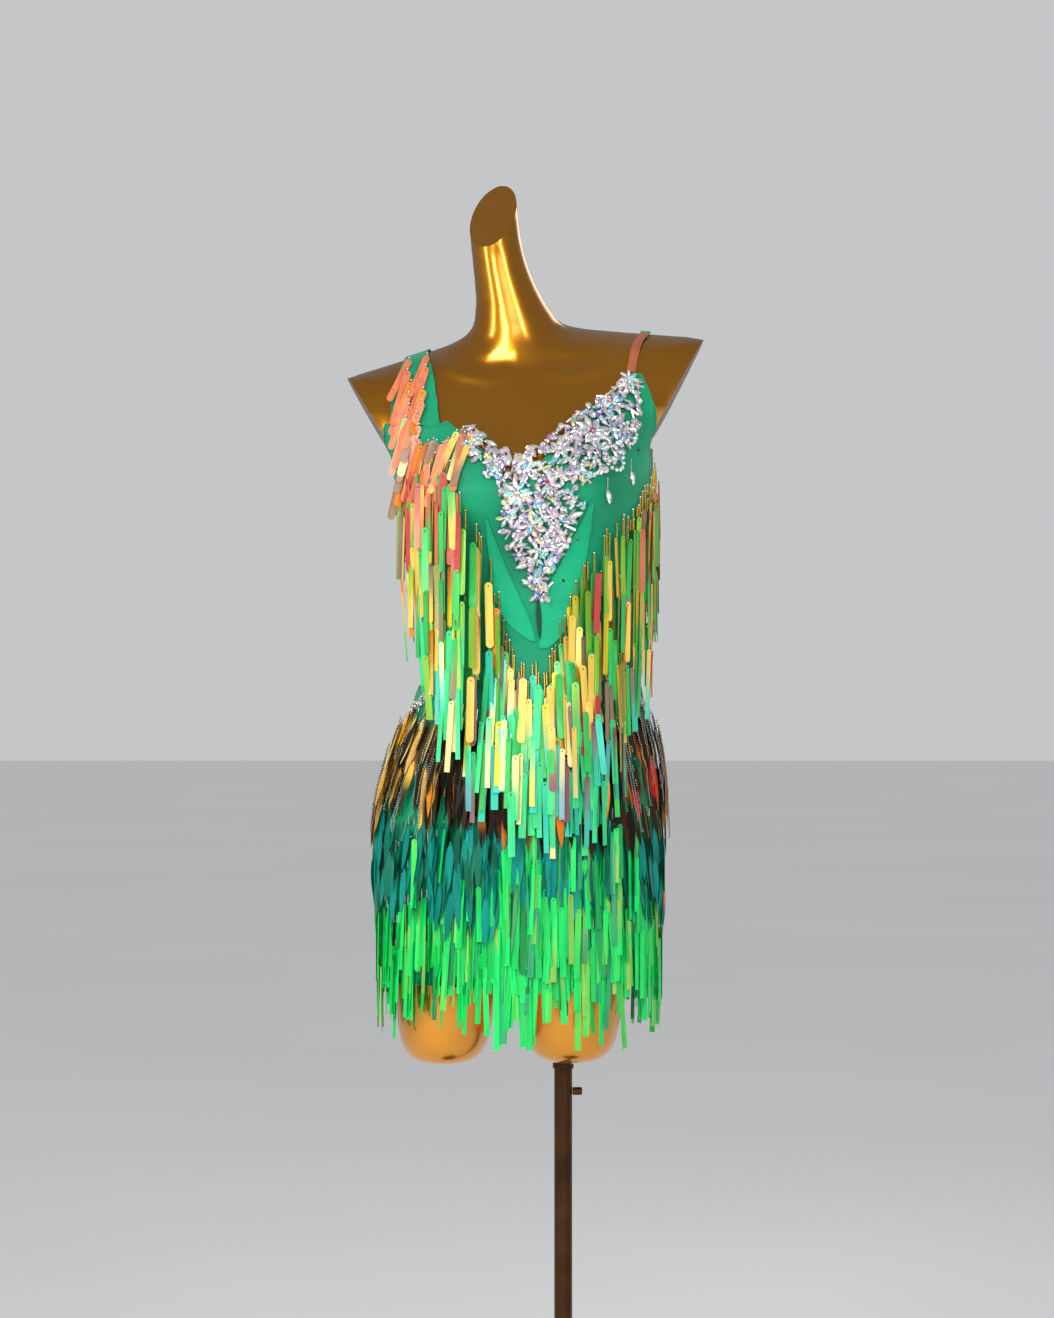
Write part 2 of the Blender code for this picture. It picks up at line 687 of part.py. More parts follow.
# ---- walls --------------------------------------------------------------------------------------
def wall(name, inner, outer, slot, closed=False):
    """A closed solid between two grids of points (rows of equal length); closed joins its two ends."""
    rows, columns = len(inner), len(inner[0])
    points = [p for row in inner for p in row] + [p for row in outer for p in row]
    layer = rows * columns
    faces = []
    spans = columns if closed else columns - 1
    for r in range(rows - 1):
        for c in range(spans):
            n = (c + 1) % columns
            a, b, d, e = r * columns + c, r * columns + n, (r + 1) * columns + n, (r + 1) * columns + c
            faces.append((a, e, d, b))
            faces.append((layer + a, layer + b, layer + d, layer + e))
    for c in range(spans):
        n = (c + 1) % columns
        top = (rows - 1) * columns
        faces.append((c, n, layer + n, layer + c))
        faces.append((top + n, top + c, layer + top + c, layer + top + n))
    if not closed:
        last = columns - 1
        for r in range(rows - 1):
            a, b = r * columns, (r + 1) * columns
            faces.append((b, a, layer + a, layer + b))
            faces.append((a + last, b + last, layer + b + last, layer + a + last))
    mesh = mesh_of(name, points, faces)
    bm = bmesh.new()
    bm.from_mesh(mesh)
    bmesh.ops.recalc_face_normals(bm, faces=bm.faces[:])
    bm.to_mesh(mesh)
    bm.free()
    return new_object(name, mesh, slot)


def grid_between(bottom, top, rows):
    """(angle, height) of each place of a grid, from its bottom edge to its top edge."""
    return [
        [
            (a + (b - a) * r / rows, low + (high - low) * r / rows)
            for (a, low), (b, high) in zip(bottom, top)
        ]
        for r in range(rows + 1)
    ]


def split_weights(up, along):
    """The corners' weights at this place of a cell, for each way to split it into two triangles."""
    if up <= along:
        yield np.array((1 - along, along - up, 0, up))
    else:
        yield np.array((1 - up, 0, up - along, along))
    if up + along <= 1:
        yield np.array((1 - up - along, along, up, 0))
    else:
        yield np.array((0, 1 - up, 1 - along, up + along - 1))


def eased(places, radii, radius_at):
    """The radii lifted where the flat cells between them would cut into the round form."""
    radii = np.asarray(radii)
    lift = np.zeros(radii.shape)
    shares = np.linspace(0, 1, EASE_SAMPLES)
    for r in range(len(places) - 1):
        for c in range(len(places[0]) - 1):
            corners = np.array(
                [(*places[i][j], radii[i, j]) for i in (r, r + 1) for j in (c, c + 1)]
            )
            half = math.radians(abs(corners[1][0] - corners[0][0])) / 2
            short = 0.0
            for up in shares:
                for along in shares:
                    weights = ((1 - up) * (1 - along), (1 - up) * along, up * (1 - along), up * along)
                    angle, height, _ = weights @ corners
                    radius = min(w @ corners[:, 2] for w in split_weights(up, along))
                    flat = radius * math.cos(half) / math.cos(half * (2 * along - 1))
                    short = max(short, radius_at(angle, height) - flat)
            part = lift[r : r + 2, c : c + 2]
            np.maximum(part, short, out=part)
    return radii + lift


def drum_patch(body, name, bottom, top, rows, away, thick, slot):
    """A wall on the form between two edges. Each edge is a list of (angle, height), one a column."""
    places = grid_between(bottom, top, rows)
    radii = [[body.radius(a, h, away) for a, h in row] for row in places]
    radii = eased(places, radii, lambda a, h: body.radius(a, h, away))
    grids = [
        [
            [drum_point(a, h, radii[r, c] + extra) for c, (a, h) in enumerate(row)]
            for r, row in enumerate(places)
        ]
        for extra in (0.0, thick)
    ]
    return wall(name, *grids, slot)


def hanging_radius(body, angle, height, top, away):
    """Distance from the drum's line of cloth that hangs from a height: it never goes back inwards."""
    step = 0.012
    count = max(1, math.ceil((top - height) / step))
    heights = [height + (top - height) * k / count for k in range(count + 1)]
    return max(body.radius(angle, h, away) for h in heights)


def hanging_patch(
    body, name, bottom, top, rows, away, flare, thick, slot, hung_from=None, closed=False
):
    """A wall that hangs from its top edge or from hung_from, and stands out by flare at its lowest."""
    lowest = min(height for _, height in bottom)
    highest = max(height for _, height in top)
    knots, tops = zip(*top)

    def radius_at(angle, height):
        start = hung_from or max(height, float(np.interp(angle, knots, tops)))
        radius = hanging_radius(body, angle, height, start, away)
        return radius + flare * (highest - height) / (highest - lowest)

    places = grid_between(bottom, top, rows)
    if closed:
        places = [row + [(row[0][0] + 360, row[0][1])] for row in places]
    radii = eased(places, [[radius_at(a, h) for a, h in row] for row in places], radius_at)
    if closed:
        radii[:, 0] = np.maximum(radii[:, 0], radii[:, -1])
        places, radii = [row[:-1] for row in places], radii[:, :-1]
    grids = [
        [
            [drum_point(a, h, radii[r, c] + extra) for c, (a, h) in enumerate(row)]
            for r, row in enumerate(places)
        ]
        for extra in (0.0, thick)
    ]
    return wall(name, *grids, slot, closed)


def saddle_patch(body, name, table, columns, away, thick, slot):
    """A strap over the shoulder. Each row of the table is (degrees, outer, inner)."""
    grids = []
    for distance in (away, away + thick):
        grid = []
        for degrees, outer, inner in closer(table, STRAP_STEP):
            row = []
            for c in range(columns + 1):
                across = outer + (inner - outer) * c / columns
                row.append(saddle_point(body, degrees, across, distance))
            grid.append(row)
        grids.append(grid)
    return wall(name, *grids, slot)


def strap_end(body, row, columns, facing):
    """(angle, height) of the edge that a panel has at a strap's end, a seam's gap away."""
    degrees, outer, inner = row
    edge = []
    for c in range(columns + 1):
        across = outer + (inner - outer) * c / columns
        height = saddle_point(body, degrees, across, ON_FORM).z - 2 * SEAM
        edge.append((body.angle_at(across, height, facing), height))
    return edge


def closer(table, step):
    """The table with rows put in between, so that its first column never steps by more than this."""
    rows = []
    for first, last in zip(table, table[1:]):
        parts = max(1, math.ceil(abs(last[0] - first[0]) / step - 1e-6))
        rows += [tuple(a + (b - a) * k / parts for a, b in zip(first, last)) for k in range(parts)]
    return [*rows, table[-1]]


def even_angles(start, end, count):
    return [start + (end - start) * k / (count - 1) for k in range(count)]


# ---- the dress ----------------------------------------------------------------------------------
def thin_row(degrees, across):
    return (degrees, across - STRAP_THIN_WIDTH / 2, across + STRAP_THIN_WIDTH / 2)


def make_bodice(body):
    """Front and back, with a nude insert at each side."""
    low_left = SIDE_LEFT + INSERT_LEFT["bottom"]
    low_right = SIDE_RIGHT - INSERT_RIGHT["bottom"]
    top = [(SIDE_LEFT + INSERT_LEFT["top"] + 0.3, UNDERARM_LEFT)]
    across, height = ARMHOLE_LEFT
    top += [(body.angle_at(across, height, 1), height)]
    top += strap_end(body, STRAP_WIDE[0], 3, 1)
    top += [(body.angle_at(across, height, 1), height) for across, height in NECKLINE]
    top += strap_end(body, thin_row(*STRAP_THIN[0]), 1, 1)
    top += [(body.angle_at(across, height, 1), height) for across, height in NECKLINE_RIGHT]
    top += [(SIDE_RIGHT - INSERT_RIGHT["top"] - 0.3, UNDERARM_RIGHT)]
    bottom = [(a, WAIST + SEAM) for a in even_angles(low_left, low_right, len(top))]
    drum_patch(body, "bodice_front", bottom, top, 12, ON_FORM, CLOTH, "green_cloth")

    low_left = 360 + SIDE_LEFT - INSERT_LEFT["bottom"]
    low_right = SIDE_RIGHT + INSERT_RIGHT["bottom"]
    top = [(360 + SIDE_LEFT - INSERT_LEFT["top"] - 0.3, UNDERARM_LEFT)]
    across, height = ARMHOLE_LEFT_BACK
    top += [(body.angle_at(across, height, -1), height)]
    top += strap_end(body, STRAP_WIDE[-1], 3, -1)
    top += [(body.angle_at(across, height, -1), height) for across, height in BACK_TOP]
    top += strap_end(body, thin_row(*STRAP_THIN_BACK[-1]), 1, -1)
    across, height = ARMHOLE_RIGHT_BACK
    top += [(body.angle_at(across, height, -1), height)]
    top += [(SIDE_RIGHT + INSERT_RIGHT["top"] + 0.3, UNDERARM_RIGHT)]
    bottom = [(a, WAIST + SEAM) for a in even_angles(low_left, low_right, len(top))]
    drum_patch(body, "bodice_back", bottom, top, 10, ON_FORM, CLOTH, "green_cloth")

    for name, side, widths, underarm in (
        ("side_insert_left", SIDE_LEFT, INSERT_LEFT, UNDERARM_LEFT),
        ("side_insert_right", SIDE_RIGHT, INSERT_RIGHT, UNDERARM_RIGHT),
    ):
        edges = {}
        for end, height in (("bottom", WAIST + SEAM), ("top", underarm)):
            half = max(widths[end] - 0.3, 0.2)
            edges[end] = [(a, height) for a in even_angles(side - half, side + half, 3)]
        drum_patch(body, name, edges["bottom"], edges["top"], 11, ON_FORM, CLOTH, "nude_mesh")


def make_neckline_pieces(body):
    """The nude gusset in the V, and the two leaf-shaped bands that lie on the front."""
    bottom = [(body.angle_at(across, low, 1), low) for across, low, _ in GUSSET]
    top = [(body.angle_at(across, high, 1), high) for across, _, high in GUSSET]
    drum_patch(body, "neck_gusset", bottom, top, 2, ON_FORM, CLOTH, "nude_mesh")
    body.cover("bodice_front")
    for name, table in (("band_left", BAND_LEFT), ("band_right", BAND_RIGHT)):
        rows = closer(table, 0.016)
        outer = [(body.angle_at(a, h, 1), h) for h, a, _ in rows]
        inner = [(body.angle_at(a, h, 1), h) for h, _, a in rows]
        drum_patch(body, name, outer, inner, 3, ON_CLOTH, CLOTH, "green_mesh")


def make_crystals(body):
    """The applique round the neckline and the trims on the hips, as plain reliefs."""
    body.cover("bodice_front", "band_left", "band_right")
    bottom = [(body.angle_at(a, h, 1), h) for _, _, a, h in APPLIQUE]
    top = [(body.angle_at(a, h, 1), h) for a, h, _, _ in APPLIQUE]
    drum_patch(body, "crystal_applique", bottom, top, APPLIQUE_ROWS, ON_CLOTH, APPLIQUE_THICK, "crystal")
    body.cover("skirt_front", "skirt_back")
    for name, table in (("hip_trim_left", HIP_TRIM_LEFT), ("hip_trim_right", HIP_TRIM_RIGHT)):
        bottom = [(a, h) for a, h, _ in table]
        top = [(a, h + width) for a, h, width in table]
        hanging_patch(
            body, name, bottom, top, 1, ON_CLOTH, 0.0, TRIM_THICK, "crystal", hung_from=WAIST
        )


def make_straps(body):
    """The wide strap on the left, the thin one on the right with its own back part."""
    saddle_patch(body, "strap_wide", STRAP_WIDE, 3, ON_FORM, CLOTH, "green_cloth")
    for name, table, slot in (
        ("strap_thin", STRAP_THIN, "nude_mesh"),
        ("strap_thin_back", STRAP_THIN_BACK, "green_cloth"),
    ):
        rows = [thin_row(*row) for row in table]
        saddle_patch(body, name, rows, 1, ON_FORM, CLOTH, slot)


def make_skirt(body):
    """The base skirt, in a front and a back that meet at the side seams."""
    for name, start, end in (
        ("skirt_front", SIDE_LEFT, SIDE_RIGHT),
        ("skirt_back", SIDE_RIGHT, 360 + SIDE_LEFT),
    ):
        angles = even_angles(start + 0.3, end - 0.3, 17)
        bottom = [(a, HEM) for a in angles]
        top = [(a, WAIST - SEAM) for a in angles]
        hanging_patch(
            body, name, bottom, top, 9, ON_FORM, 0.0, CLOTH, "green_cloth", hung_from=WAIST
        )


def make_fringes(body):
    """Plain walls of the fringes' reach: strap, the skirt's three tiers, bodice front and back."""
    saddle_patch(body, "fringe_strap", STRAP_FRINGE, 2, ON_CLOTH + 1.0 * MM, 3.0 * MM, "strips")
    under = ["skirt_front", "skirt_back"]
    for name, slot, high, low, flare, thick in TIERS:
        body.cover(*under)
        drops = BRONZE_TOP if name == "tier_bronze" else [(a, 0.0) for a, _ in BRONZE_TOP]
        bottom = [(a, low) for a, _ in drops]
        top = [(a, high - drop) for a, drop in drops]
        hanging_patch(
            body,
            name,
            bottom,
            top,
            TIER_ROWS,
            ON_CLOTH,
            flare,
            thick,
            slot,
            hung_from=WAIST,
            closed=True,
        )
        under.append(name)
    body.cover(
        *under,
        "bodice_front",
        "bodice_back",
        "side_insert_left",
        "side_insert_right",
        "band_left",
        "band_right",
    )
    for name, table in (("fringe_front", FRINGE_FRONT), ("fringe_back", FRINGE_BACK)):
        rows = closer(table, 6.5)
        bottom = [(a, low) for a, _, low in rows]
        top = [(a, high) for a, high, _ in rows]
        hanging_patch(body, name, bottom, top, 6, ON_CLOTH, 0.0, FRINGE_THICK, "strips")


def main():
    clear_scene()
    form = make_form()
    make_stand()
    body = Body(form)
    make_bodice(body)
    make_skirt(body)
    make_straps(body)
    make_neckline_pieces(body)
    make_crystals(body)
    make_fringes(body)


main()
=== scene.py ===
"""The look of the salsa dance dress on its gold display form.

Everything is in metres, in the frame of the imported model: +Z up, the front faces -Y, and the Z axis
is the pole. Each strand of fringe hangs from its anchor, over the widest part of the body below it,
and leans a little. Each strip is laid on what already lies at its place, up to a cap on the depth.
Most strips reach that cap, and there they cut through each other.
"""

import math
import random

import bmesh
import bpy
import numpy as np
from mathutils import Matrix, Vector
from mathutils.bvhtree import BVHTree
from mathutils.geometry import tessellate_polygon


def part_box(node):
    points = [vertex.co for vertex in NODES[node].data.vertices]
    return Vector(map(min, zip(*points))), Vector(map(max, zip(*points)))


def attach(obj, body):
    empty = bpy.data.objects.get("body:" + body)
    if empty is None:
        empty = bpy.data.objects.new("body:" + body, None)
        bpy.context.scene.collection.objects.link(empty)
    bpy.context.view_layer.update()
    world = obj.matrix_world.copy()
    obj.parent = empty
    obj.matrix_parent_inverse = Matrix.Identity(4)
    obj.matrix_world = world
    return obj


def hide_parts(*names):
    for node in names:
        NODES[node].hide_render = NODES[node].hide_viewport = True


MM = 0.001
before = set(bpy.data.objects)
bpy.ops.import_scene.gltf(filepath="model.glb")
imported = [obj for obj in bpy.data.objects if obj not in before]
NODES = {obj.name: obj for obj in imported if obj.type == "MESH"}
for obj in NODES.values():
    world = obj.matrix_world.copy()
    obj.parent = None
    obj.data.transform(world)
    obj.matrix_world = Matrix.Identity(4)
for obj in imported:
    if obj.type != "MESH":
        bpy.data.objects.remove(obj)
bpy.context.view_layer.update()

# ---- places ---------------------------------------------------------------------------------
BODY_X = -0.038  # the body's middle line
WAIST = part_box("bodice_front")[0].z
DRUM_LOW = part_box("tier_green")[0].z
DRUM_HIGH = 1.420
FORM_LOW = 0.862  # below this the drum's line is between the thighs
SADDLE_Y = 0.015
SADDLE_HEIGHT = 1.366
CLOTH_ON_FORM = 2.6 * MM
BAND_ON_FORM = CLOTH_ON_FORM + 1.4 * MM
CLOTH_THICK = 1.0 * MM
RIPPLE = 0.25 * MM

CAMERA_DISTANCE = 3.2
CAMERA_HEIGHT = 1.1076
CAMERA_SEES = 1.384  # metres at the object, from the top of the view to its bottom

random.seed(7)


# ---- small helpers --------------------------------------------------------------------------
def srgb(red, green, blue):
    """Linear colour of an sRGB colour given from 0 to 255."""
    return tuple(
        c / 255 / 12.92 if c / 255 <= 0.04045 else ((c / 255 + 0.055) / 1.055) ** 2.4
        for c in (red, green, blue)
    )


def lerp(a, b, share):
    return a + (b - a) * share


def mix(first, second, share):
    return tuple(lerp(a, b, share) for a, b in zip(first, second))


def drum_point(angle, height, radius):
    turn = math.radians(angle)
    return Vector((BODY_X + radius * math.sin(turn), -radius * math.cos(turn), height))


def drum_outward(point):
    return Vector((point.x - BODY_X, point.y, 0)).normalized()


def saddle_outward(point):
    return Vector((0, point.y - SADDLE_Y, point.z - SADDLE_HEIGHT)).normalized()


def circle(radius, sides, shift=0):
    """The corners of a round outline, as (x, y)."""
    turns = [math.tau * (k + shift) / sides for k in range(sides)]
    return [(radius * math.cos(turn), radius * math.sin(turn)) for turn in turns]


def new_mesh_object(name, mesh, material, slot):
    obj = bpy.data.objects.new(name, mesh)
    bpy.context.scene.collection.objects.link(obj)
    mesh.materials.clear()
    mesh.materials.append(material)
    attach(obj, "root")
    return obj


def shade_smooth(obj, angle=40):
    obj.data.shade_smooth()
    obj.data.set_sharp_from_angle(angle=math.radians(angle))


class Builder:
    """Gathers many small shapes, each with its colour, into one mesh."""

    def __init__(self):
        self.points, self.faces, self.colours = [], [], []

    def add(self, points, faces, colours):
        start = len(self.points)
        self.points += points
        self.faces += [tuple(start + i for i in face) for face in faces]
        self.colours += colours

    def add_facets(self, points, faces, tints):
        """Adds a shape whose faces each have a colour of their own."""
        for face, tint in zip(faces, tints):
            self.add([points[i] for i in face], [tuple(range(len(face)))], [tint] * len(face))

    def make(self, name, material, slot, smooth=False):
        mesh = bpy.data.meshes.new(name)
        mesh.from_pydata([tuple(p) for p in self.points], [], self.faces)
        tint = mesh.color_attributes.new("tint", "FLOAT_COLOR", "POINT")
        flat = np.ones((len(self.points), 4), np.float32)
        flat[:, :3] = np.array(self.colours, np.float32)
        tint.data.foreach_set("color", flat.ravel())
        mesh.update()
        obj = new_mesh_object(name, mesh, material, slot)
        if smooth:
            shade_smooth(obj)
        return obj


# ---- materials ------------------------------------------------------------------------------
class Shader:
    """A short way to write a material's nodes."""

    def __init__(self, name):
        self.material = bpy.data.materials.new(name)
        self.material.use_nodes = True
        self.tree = self.material.node_tree
        self.surface = self.tree.nodes["Principled BSDF"]

    def node(self, kind, **settings):
        made = self.tree.nodes.new(kind)
        for key, value in settings.items():
            if key in made.inputs:
                made.inputs[key].default_value = value
            else:
                setattr(made, key, value)
        return made

    def link(self, source, target):
        self.tree.links.new(source, target)

    def set(self, **values):
        for key, value in values.items():
            self.surface.inputs[key.replace("_", " ")].default_value = value

    def coordinates(self, scale=(1, 1, 1)):
        place = self.node("ShaderNodeTexCoord")
        mapping = self.node("ShaderNodeMapping")
        mapping.inputs["Scale"].default_value = scale
        self.link(place.outputs["Object"], mapping.inputs["Vector"])
        return mapping.outputs["Vector"]

    def noise(self, scale, detail=3.0, stretch=(1, 1, 1)):
        made = self.node("ShaderNodeTexNoise")
        made.inputs["Scale"].default_value = scale
        made.inputs["Detail"].default_value = detail
        self.link(self.coordinates(stretch), made.inputs["Vector"])
        return made.outputs["Fac"]

    def ramp(self, value, stops):
        made = self.node("ShaderNodeValToRGB")
        made.color_ramp.elements[0].position = stops[0][0]
        made.color_ramp.elements[0].color = (*stops[0][1], 1)
        made.color_ramp.elements[1].position = stops[-1][0]
        made.color_ramp.elements[1].color = (*stops[-1][1], 1)
        for position, colour in stops[1:-1]:
            made.color_ramp.elements.new(position).color = (*colour, 1)
        self.link(value, made.inputs["Fac"])
        return made.outputs["Color"]

    def spread(self, value, low, high):
        """The value, from 0 to 1, spread between two numbers."""
        made = self.node("ShaderNodeMapRange")
        made.inputs["To Min"].default_value = low
        made.inputs["To Max"].default_value = high
        self.link(value, made.inputs["Value"])
        return made.outputs["Result"]

    def multiply(self, first, second, share=1.0):
        made = self.node("ShaderNodeMix", data_type="RGBA", blend_type="MULTIPLY")
        made.inputs["Factor"].default_value = share
        self.link(first, made.inputs[6])
        self.link(second, made.inputs[7])
        return made.outputs[2]

    def bump(self, value, strength, depth):
        made = self.node("ShaderNodeBump")
        made.inputs["Strength"].default_value = strength
        made.inputs["Distance"].default_value = depth
        self.link(value, made.inputs["Height"])
        self.link(made.outputs["Normal"], self.surface.inputs["Normal"])


def gold_lacquer():
    look = Shader("gold_lacquer")
    broad = look.noise(3.0, 2.0)
    colour = look.ramp(broad, [(0.3, srgb(204, 130, 22)), (0.7, srgb(228, 154, 38))])
    look.link(colour, look.surface.inputs["Base Color"])
    look.set(Metallic=0.92, Coat_Weight=0.7, Coat_Roughness=0.04, Coat_IOR=1.5)
    look.link(look.spread(look.noise(9.0), 0.20, 0.30), look.surface.inputs["Roughness"])
    look.bump(look.noise(60.0, 2.0), 0.03, 0.0004)
    return look.material


def bronze_metal():
    look = Shader("bronze_metal")
    colour = look.ramp(look.noise(30.0), [(0.3, srgb(66, 44, 27)), (0.75, srgb(92, 62, 38))])
    look.link(colour, look.surface.inputs["Base Color"])
    look.set(Metallic=0.95)
    streaks = look.noise(400.0, 2.0, (1, 1, 0.02))
    look.link(look.spread(streaks, 0.22, 0.36), look.surface.inputs["Roughness"])
    look.bump(streaks, 0.05, 0.0002)
    return look.material


def knit(name, dark, light, rib=1.0 * MM):
    """Stretch knit: fine ribs crossed by courses, with a soft sheen."""
    look = Shader(name)
    colour = look.ramp(look.noise(14.0, 4.0), [(0.3, dark), (0.72, light)])
    wales = look.node("ShaderNodeTexWave", bands_direction="X", wave_profile="SIN")
    wales.inputs["Scale"].default_value = math.pi / 10 / rib
    courses = look.node("ShaderNodeTexWave", bands_direction="Z", wave_profile="SIN")
    courses.inputs["Scale"].default_value = math.pi / 10 / rib
    place = look.coordinates()
    look.link(place, wales.inputs["Vector"])
    look.link(place, courses.inputs["Vector"])
    weave = look.node("ShaderNodeMath", operation="MULTIPLY")
    look.link(wales.outputs["Fac"], weave.inputs[0])
    look.link(courses.outputs["Fac"], weave.inputs[1])
    shade = look.ramp(weave.outputs[0], [(0.0, (0.80, 0.80, 0.80)), (1.0, (1.0, 1.0, 1.0))])
    look.link(look.multiply(colour, shade, 0.6), look.surface.inputs["Base Color"])
    look.set(Roughness=0.55, Sheen_Weight=0.15, Sheen_Roughness=0.4, Specular_IOR_Level=0.3)
    look.bump(weave.outputs[0], 0.25, 0.0003)
    return look.material


def film(name, roughness, metallic, coat, shine=0.4, shimmer=0.25):
    """Glossy plastic film that takes its colour from each strip, with a fine brushed shimmer."""
    look = Shader(name)
    tint = look.node("ShaderNodeVertexColor", layer_name="tint")
    streak = look.noise(160.0, 2.0, (1.0, 1.0, 0.12))
    shade = look.ramp(streak, [(0.25, (1 - shimmer,) * 3), (0.75, (1 + shimmer * 0.4,) * 3)])
    look.link(look.multiply(tint.outputs["Color"], shade), look.surface.inputs["Base Color"])
    look.set(Metallic=metallic, Coat_Weight=coat, Coat_Roughness=0.10, Specular_IOR_Level=shine)
    look.link(look.spread(streak, roughness, roughness + 0.15), look.surface.inputs["Roughness"])
    look.bump(look.noise(45.0, 1.0), 0.12, 0.0006)
    return look.material


def stone():
    """Cut glass with a mirrored back: each facet takes its own tint, and a few facets are painted glints.
    """
    look = Shader("cut_stone")
    tint = look.node("ShaderNodeVertexColor", layer_name="tint")
    look.link(tint.outputs["Color"], look.surface.inputs["Base Color"])
    look.set(Metallic=0.55, Roughness=0.06, Coat_Weight=1.0, Coat_Roughness=0.02, Coat_IOR=1.7)
    look.link(look.spread(look.noise(300.0), 0.03, 0.12), look.surface.inputs["Roughness"])
    return look.material


def pale_floor():
    look = Shader("pale_floor")
    colour = look.ramp(look.noise(0.6), [(0.3, (0.85, 0.85, 0.86)), (0.7, (0.88, 0.88, 0.88))])
    look.link(colour, look.surface.inputs["Base Color"])
    look.set(Roughness=0.75)
    return look.material


MATERIALS = {
    "gold": gold_lacquer(),
    "steel": bronze_metal(),
    "green": knit("emerald_knit", srgb(0, 138, 94), srgb(0, 168, 120)),
    "band": knit("emerald_band", srgb(0, 168, 118), srgb(0, 194, 140)),
    # a darker green knit for the keyhole's patch: painted shade in the slit
    "slit_shade": knit("painted_slit_shade", srgb(0, 66, 46), srgb(2, 82, 58)),
    "nude": knit("tan_mesh", srgb(150, 82, 50), srgb(182, 108, 70), rib=1.6 * MM),
    "film": film("iridescent_film", 0.26, 0.12, 0.25),
    "leaf": film("leaf_film", 0.28, 0.2, 0.05, shine=0.22),
    "neon": film("neon_film", 0.28, 0.08, 0.2),
    "bead": film("bugle_bead", 0.18, 0.85, 0.4, shimmer=0.1),
    "stone": stone(),
}


# ---- the form -------------------------------------------------------------------------------
VOXEL = 4.0 * MM
LIMB_EXTRA = 0.045
LARGE_FACE = 15e-4  # square metres: above the waist, only the slanted cuts are flat over more
SMOOTH_ROUNDS = 70


def flat_regions(bm):
    """The neck's and arms' large flat faces, each as (faces, centre, normal)."""
    seen, regions = set(), []
    for face in bm.faces:
        if face in seen:
            continue
        seen.add(face)
        region, queue = [face], [face]
        while queue:
            for edge in queue.pop().edges:
                for other in edge.link_faces:
                    if other not in seen and other.normal.dot(face.normal) > 0.9999:
                        seen.add(other)
                        region.append(other)
                        queue.append(other)
        area = sum(f.calc_area() for f in region)
        centre = sum((f.calc_center_median() * f.calc_area() for f in region), Vector()) / area
        if area > LARGE_FACE and centre.z > WAIST:
            regions.append((region, centre, face.normal.copy()))
    return regions


def taubin(points, edges, rounds, shrink=0.50, grow=-0.52):
    """Smooths facets away without making the whole smaller."""
    count = np.zeros(len(points))
    np.add.at(count, edges.ravel(), 1)
    for step in range(2 * rounds):
        total = np.zeros_like(points)
        np.add.at(total, edges[:, 0], points[edges[:, 1]])
        np.add.at(total, edges[:, 1], points[edges[:, 0]])
        points = points + (shrink, grow)[step % 2] * (total / count[:, None] - points)
    return points


def cut_box(centre, facing, rim):
    """A box whose one face is the cut, from the rim's lowest point upwards."""
    up = (Vector((0, 0, 1)) - facing * facing.z).normalized()
    side = up.cross(facing)
    below = min((p - centre).dot(up) for p in rim) - 1.5 * MM
    above = max((p - centre).dot(up) for p in rim) + 0.05
    corners = [
        centre + facing * out + up * rise + side * across
        for out in (0.0, 2 * LIMB_EXTRA)
        for rise in (below, above)
        for across in (-0.12, 0.12)
    ]
    faces = [(0, 1, 3, 2), (4, 6, 7, 5), (0, 4, 5, 1), (2, 3, 7, 6), (0, 2, 6, 4), (1, 5, 7, 3)]
    mesh = bpy.data.meshes.new("cut")
    mesh.from_pydata([tuple(p) for p in corners], [], faces)
    bm = bmesh.new()
    bm.from_mesh(mesh)
    bmesh.ops.recalc_face_normals(bm, faces=bm.faces[:])
    bm.to_mesh(mesh)
    bm.free()
    obj = bpy.data.objects.new("cut", mesh)
    bpy.context.scene.collection.objects.link(obj)
    return obj


def applied(obj):
    """The object's mesh with its modifiers, which are then removed."""
    graph = bpy.context.evaluated_depsgraph_get()
    mesh = bpy.data.meshes.new_from_object(obj.evaluated_get(graph))
    obj.modifiers.clear()
    obj.data = mesh
    return mesh


def lengthen_limbs(bm):
    """Draws the neck and arms out past their cuts, and gives the cuts as (centre, normal, rim)."""
    cuts = []
    for faces, centre, normal in flat_regions(bm):
        rim = {v.co.copy().freeze() for f in faces for v in f.verts}
        cuts.append((centre, normal, list(rim)))
        neck = abs(centre.x - BODY_X) < 0.1
        away = Vector((-0.1, -0.08, 1.0)) if neck else Vector((math.copysign(1, normal.x), 0, -0.12))
        made = bmesh.ops.extrude_face_region(bm, geom=faces)
        moved = [g for g in made["geom"] if isinstance(g, bmesh.types.BMVert)]
        bmesh.ops.translate(bm, verts=moved, vec=away.normalized() * LIMB_EXTRA)
        bmesh.ops.delete(bm, geom=faces, context="FACES_ONLY")
    return cuts


def smooth_evenly(form):
    remesh = form.modifiers.new("even", "REMESH")
    remesh.mode = "VOXEL"
    remesh.voxel_size = VOXEL
    mesh = applied(form)
    points = np.empty(len(mesh.vertices) * 3)
    mesh.vertices.foreach_get("co", points)
    edges = np.empty(len(mesh.edges) * 2, np.int64)
    mesh.edges.foreach_get("vertices", edges)
    smooth = taubin(points.reshape(-1, 3), edges.reshape(-1, 2), SMOOTH_ROUNDS)
    mesh.vertices.foreach_set("co", smooth.ravel())


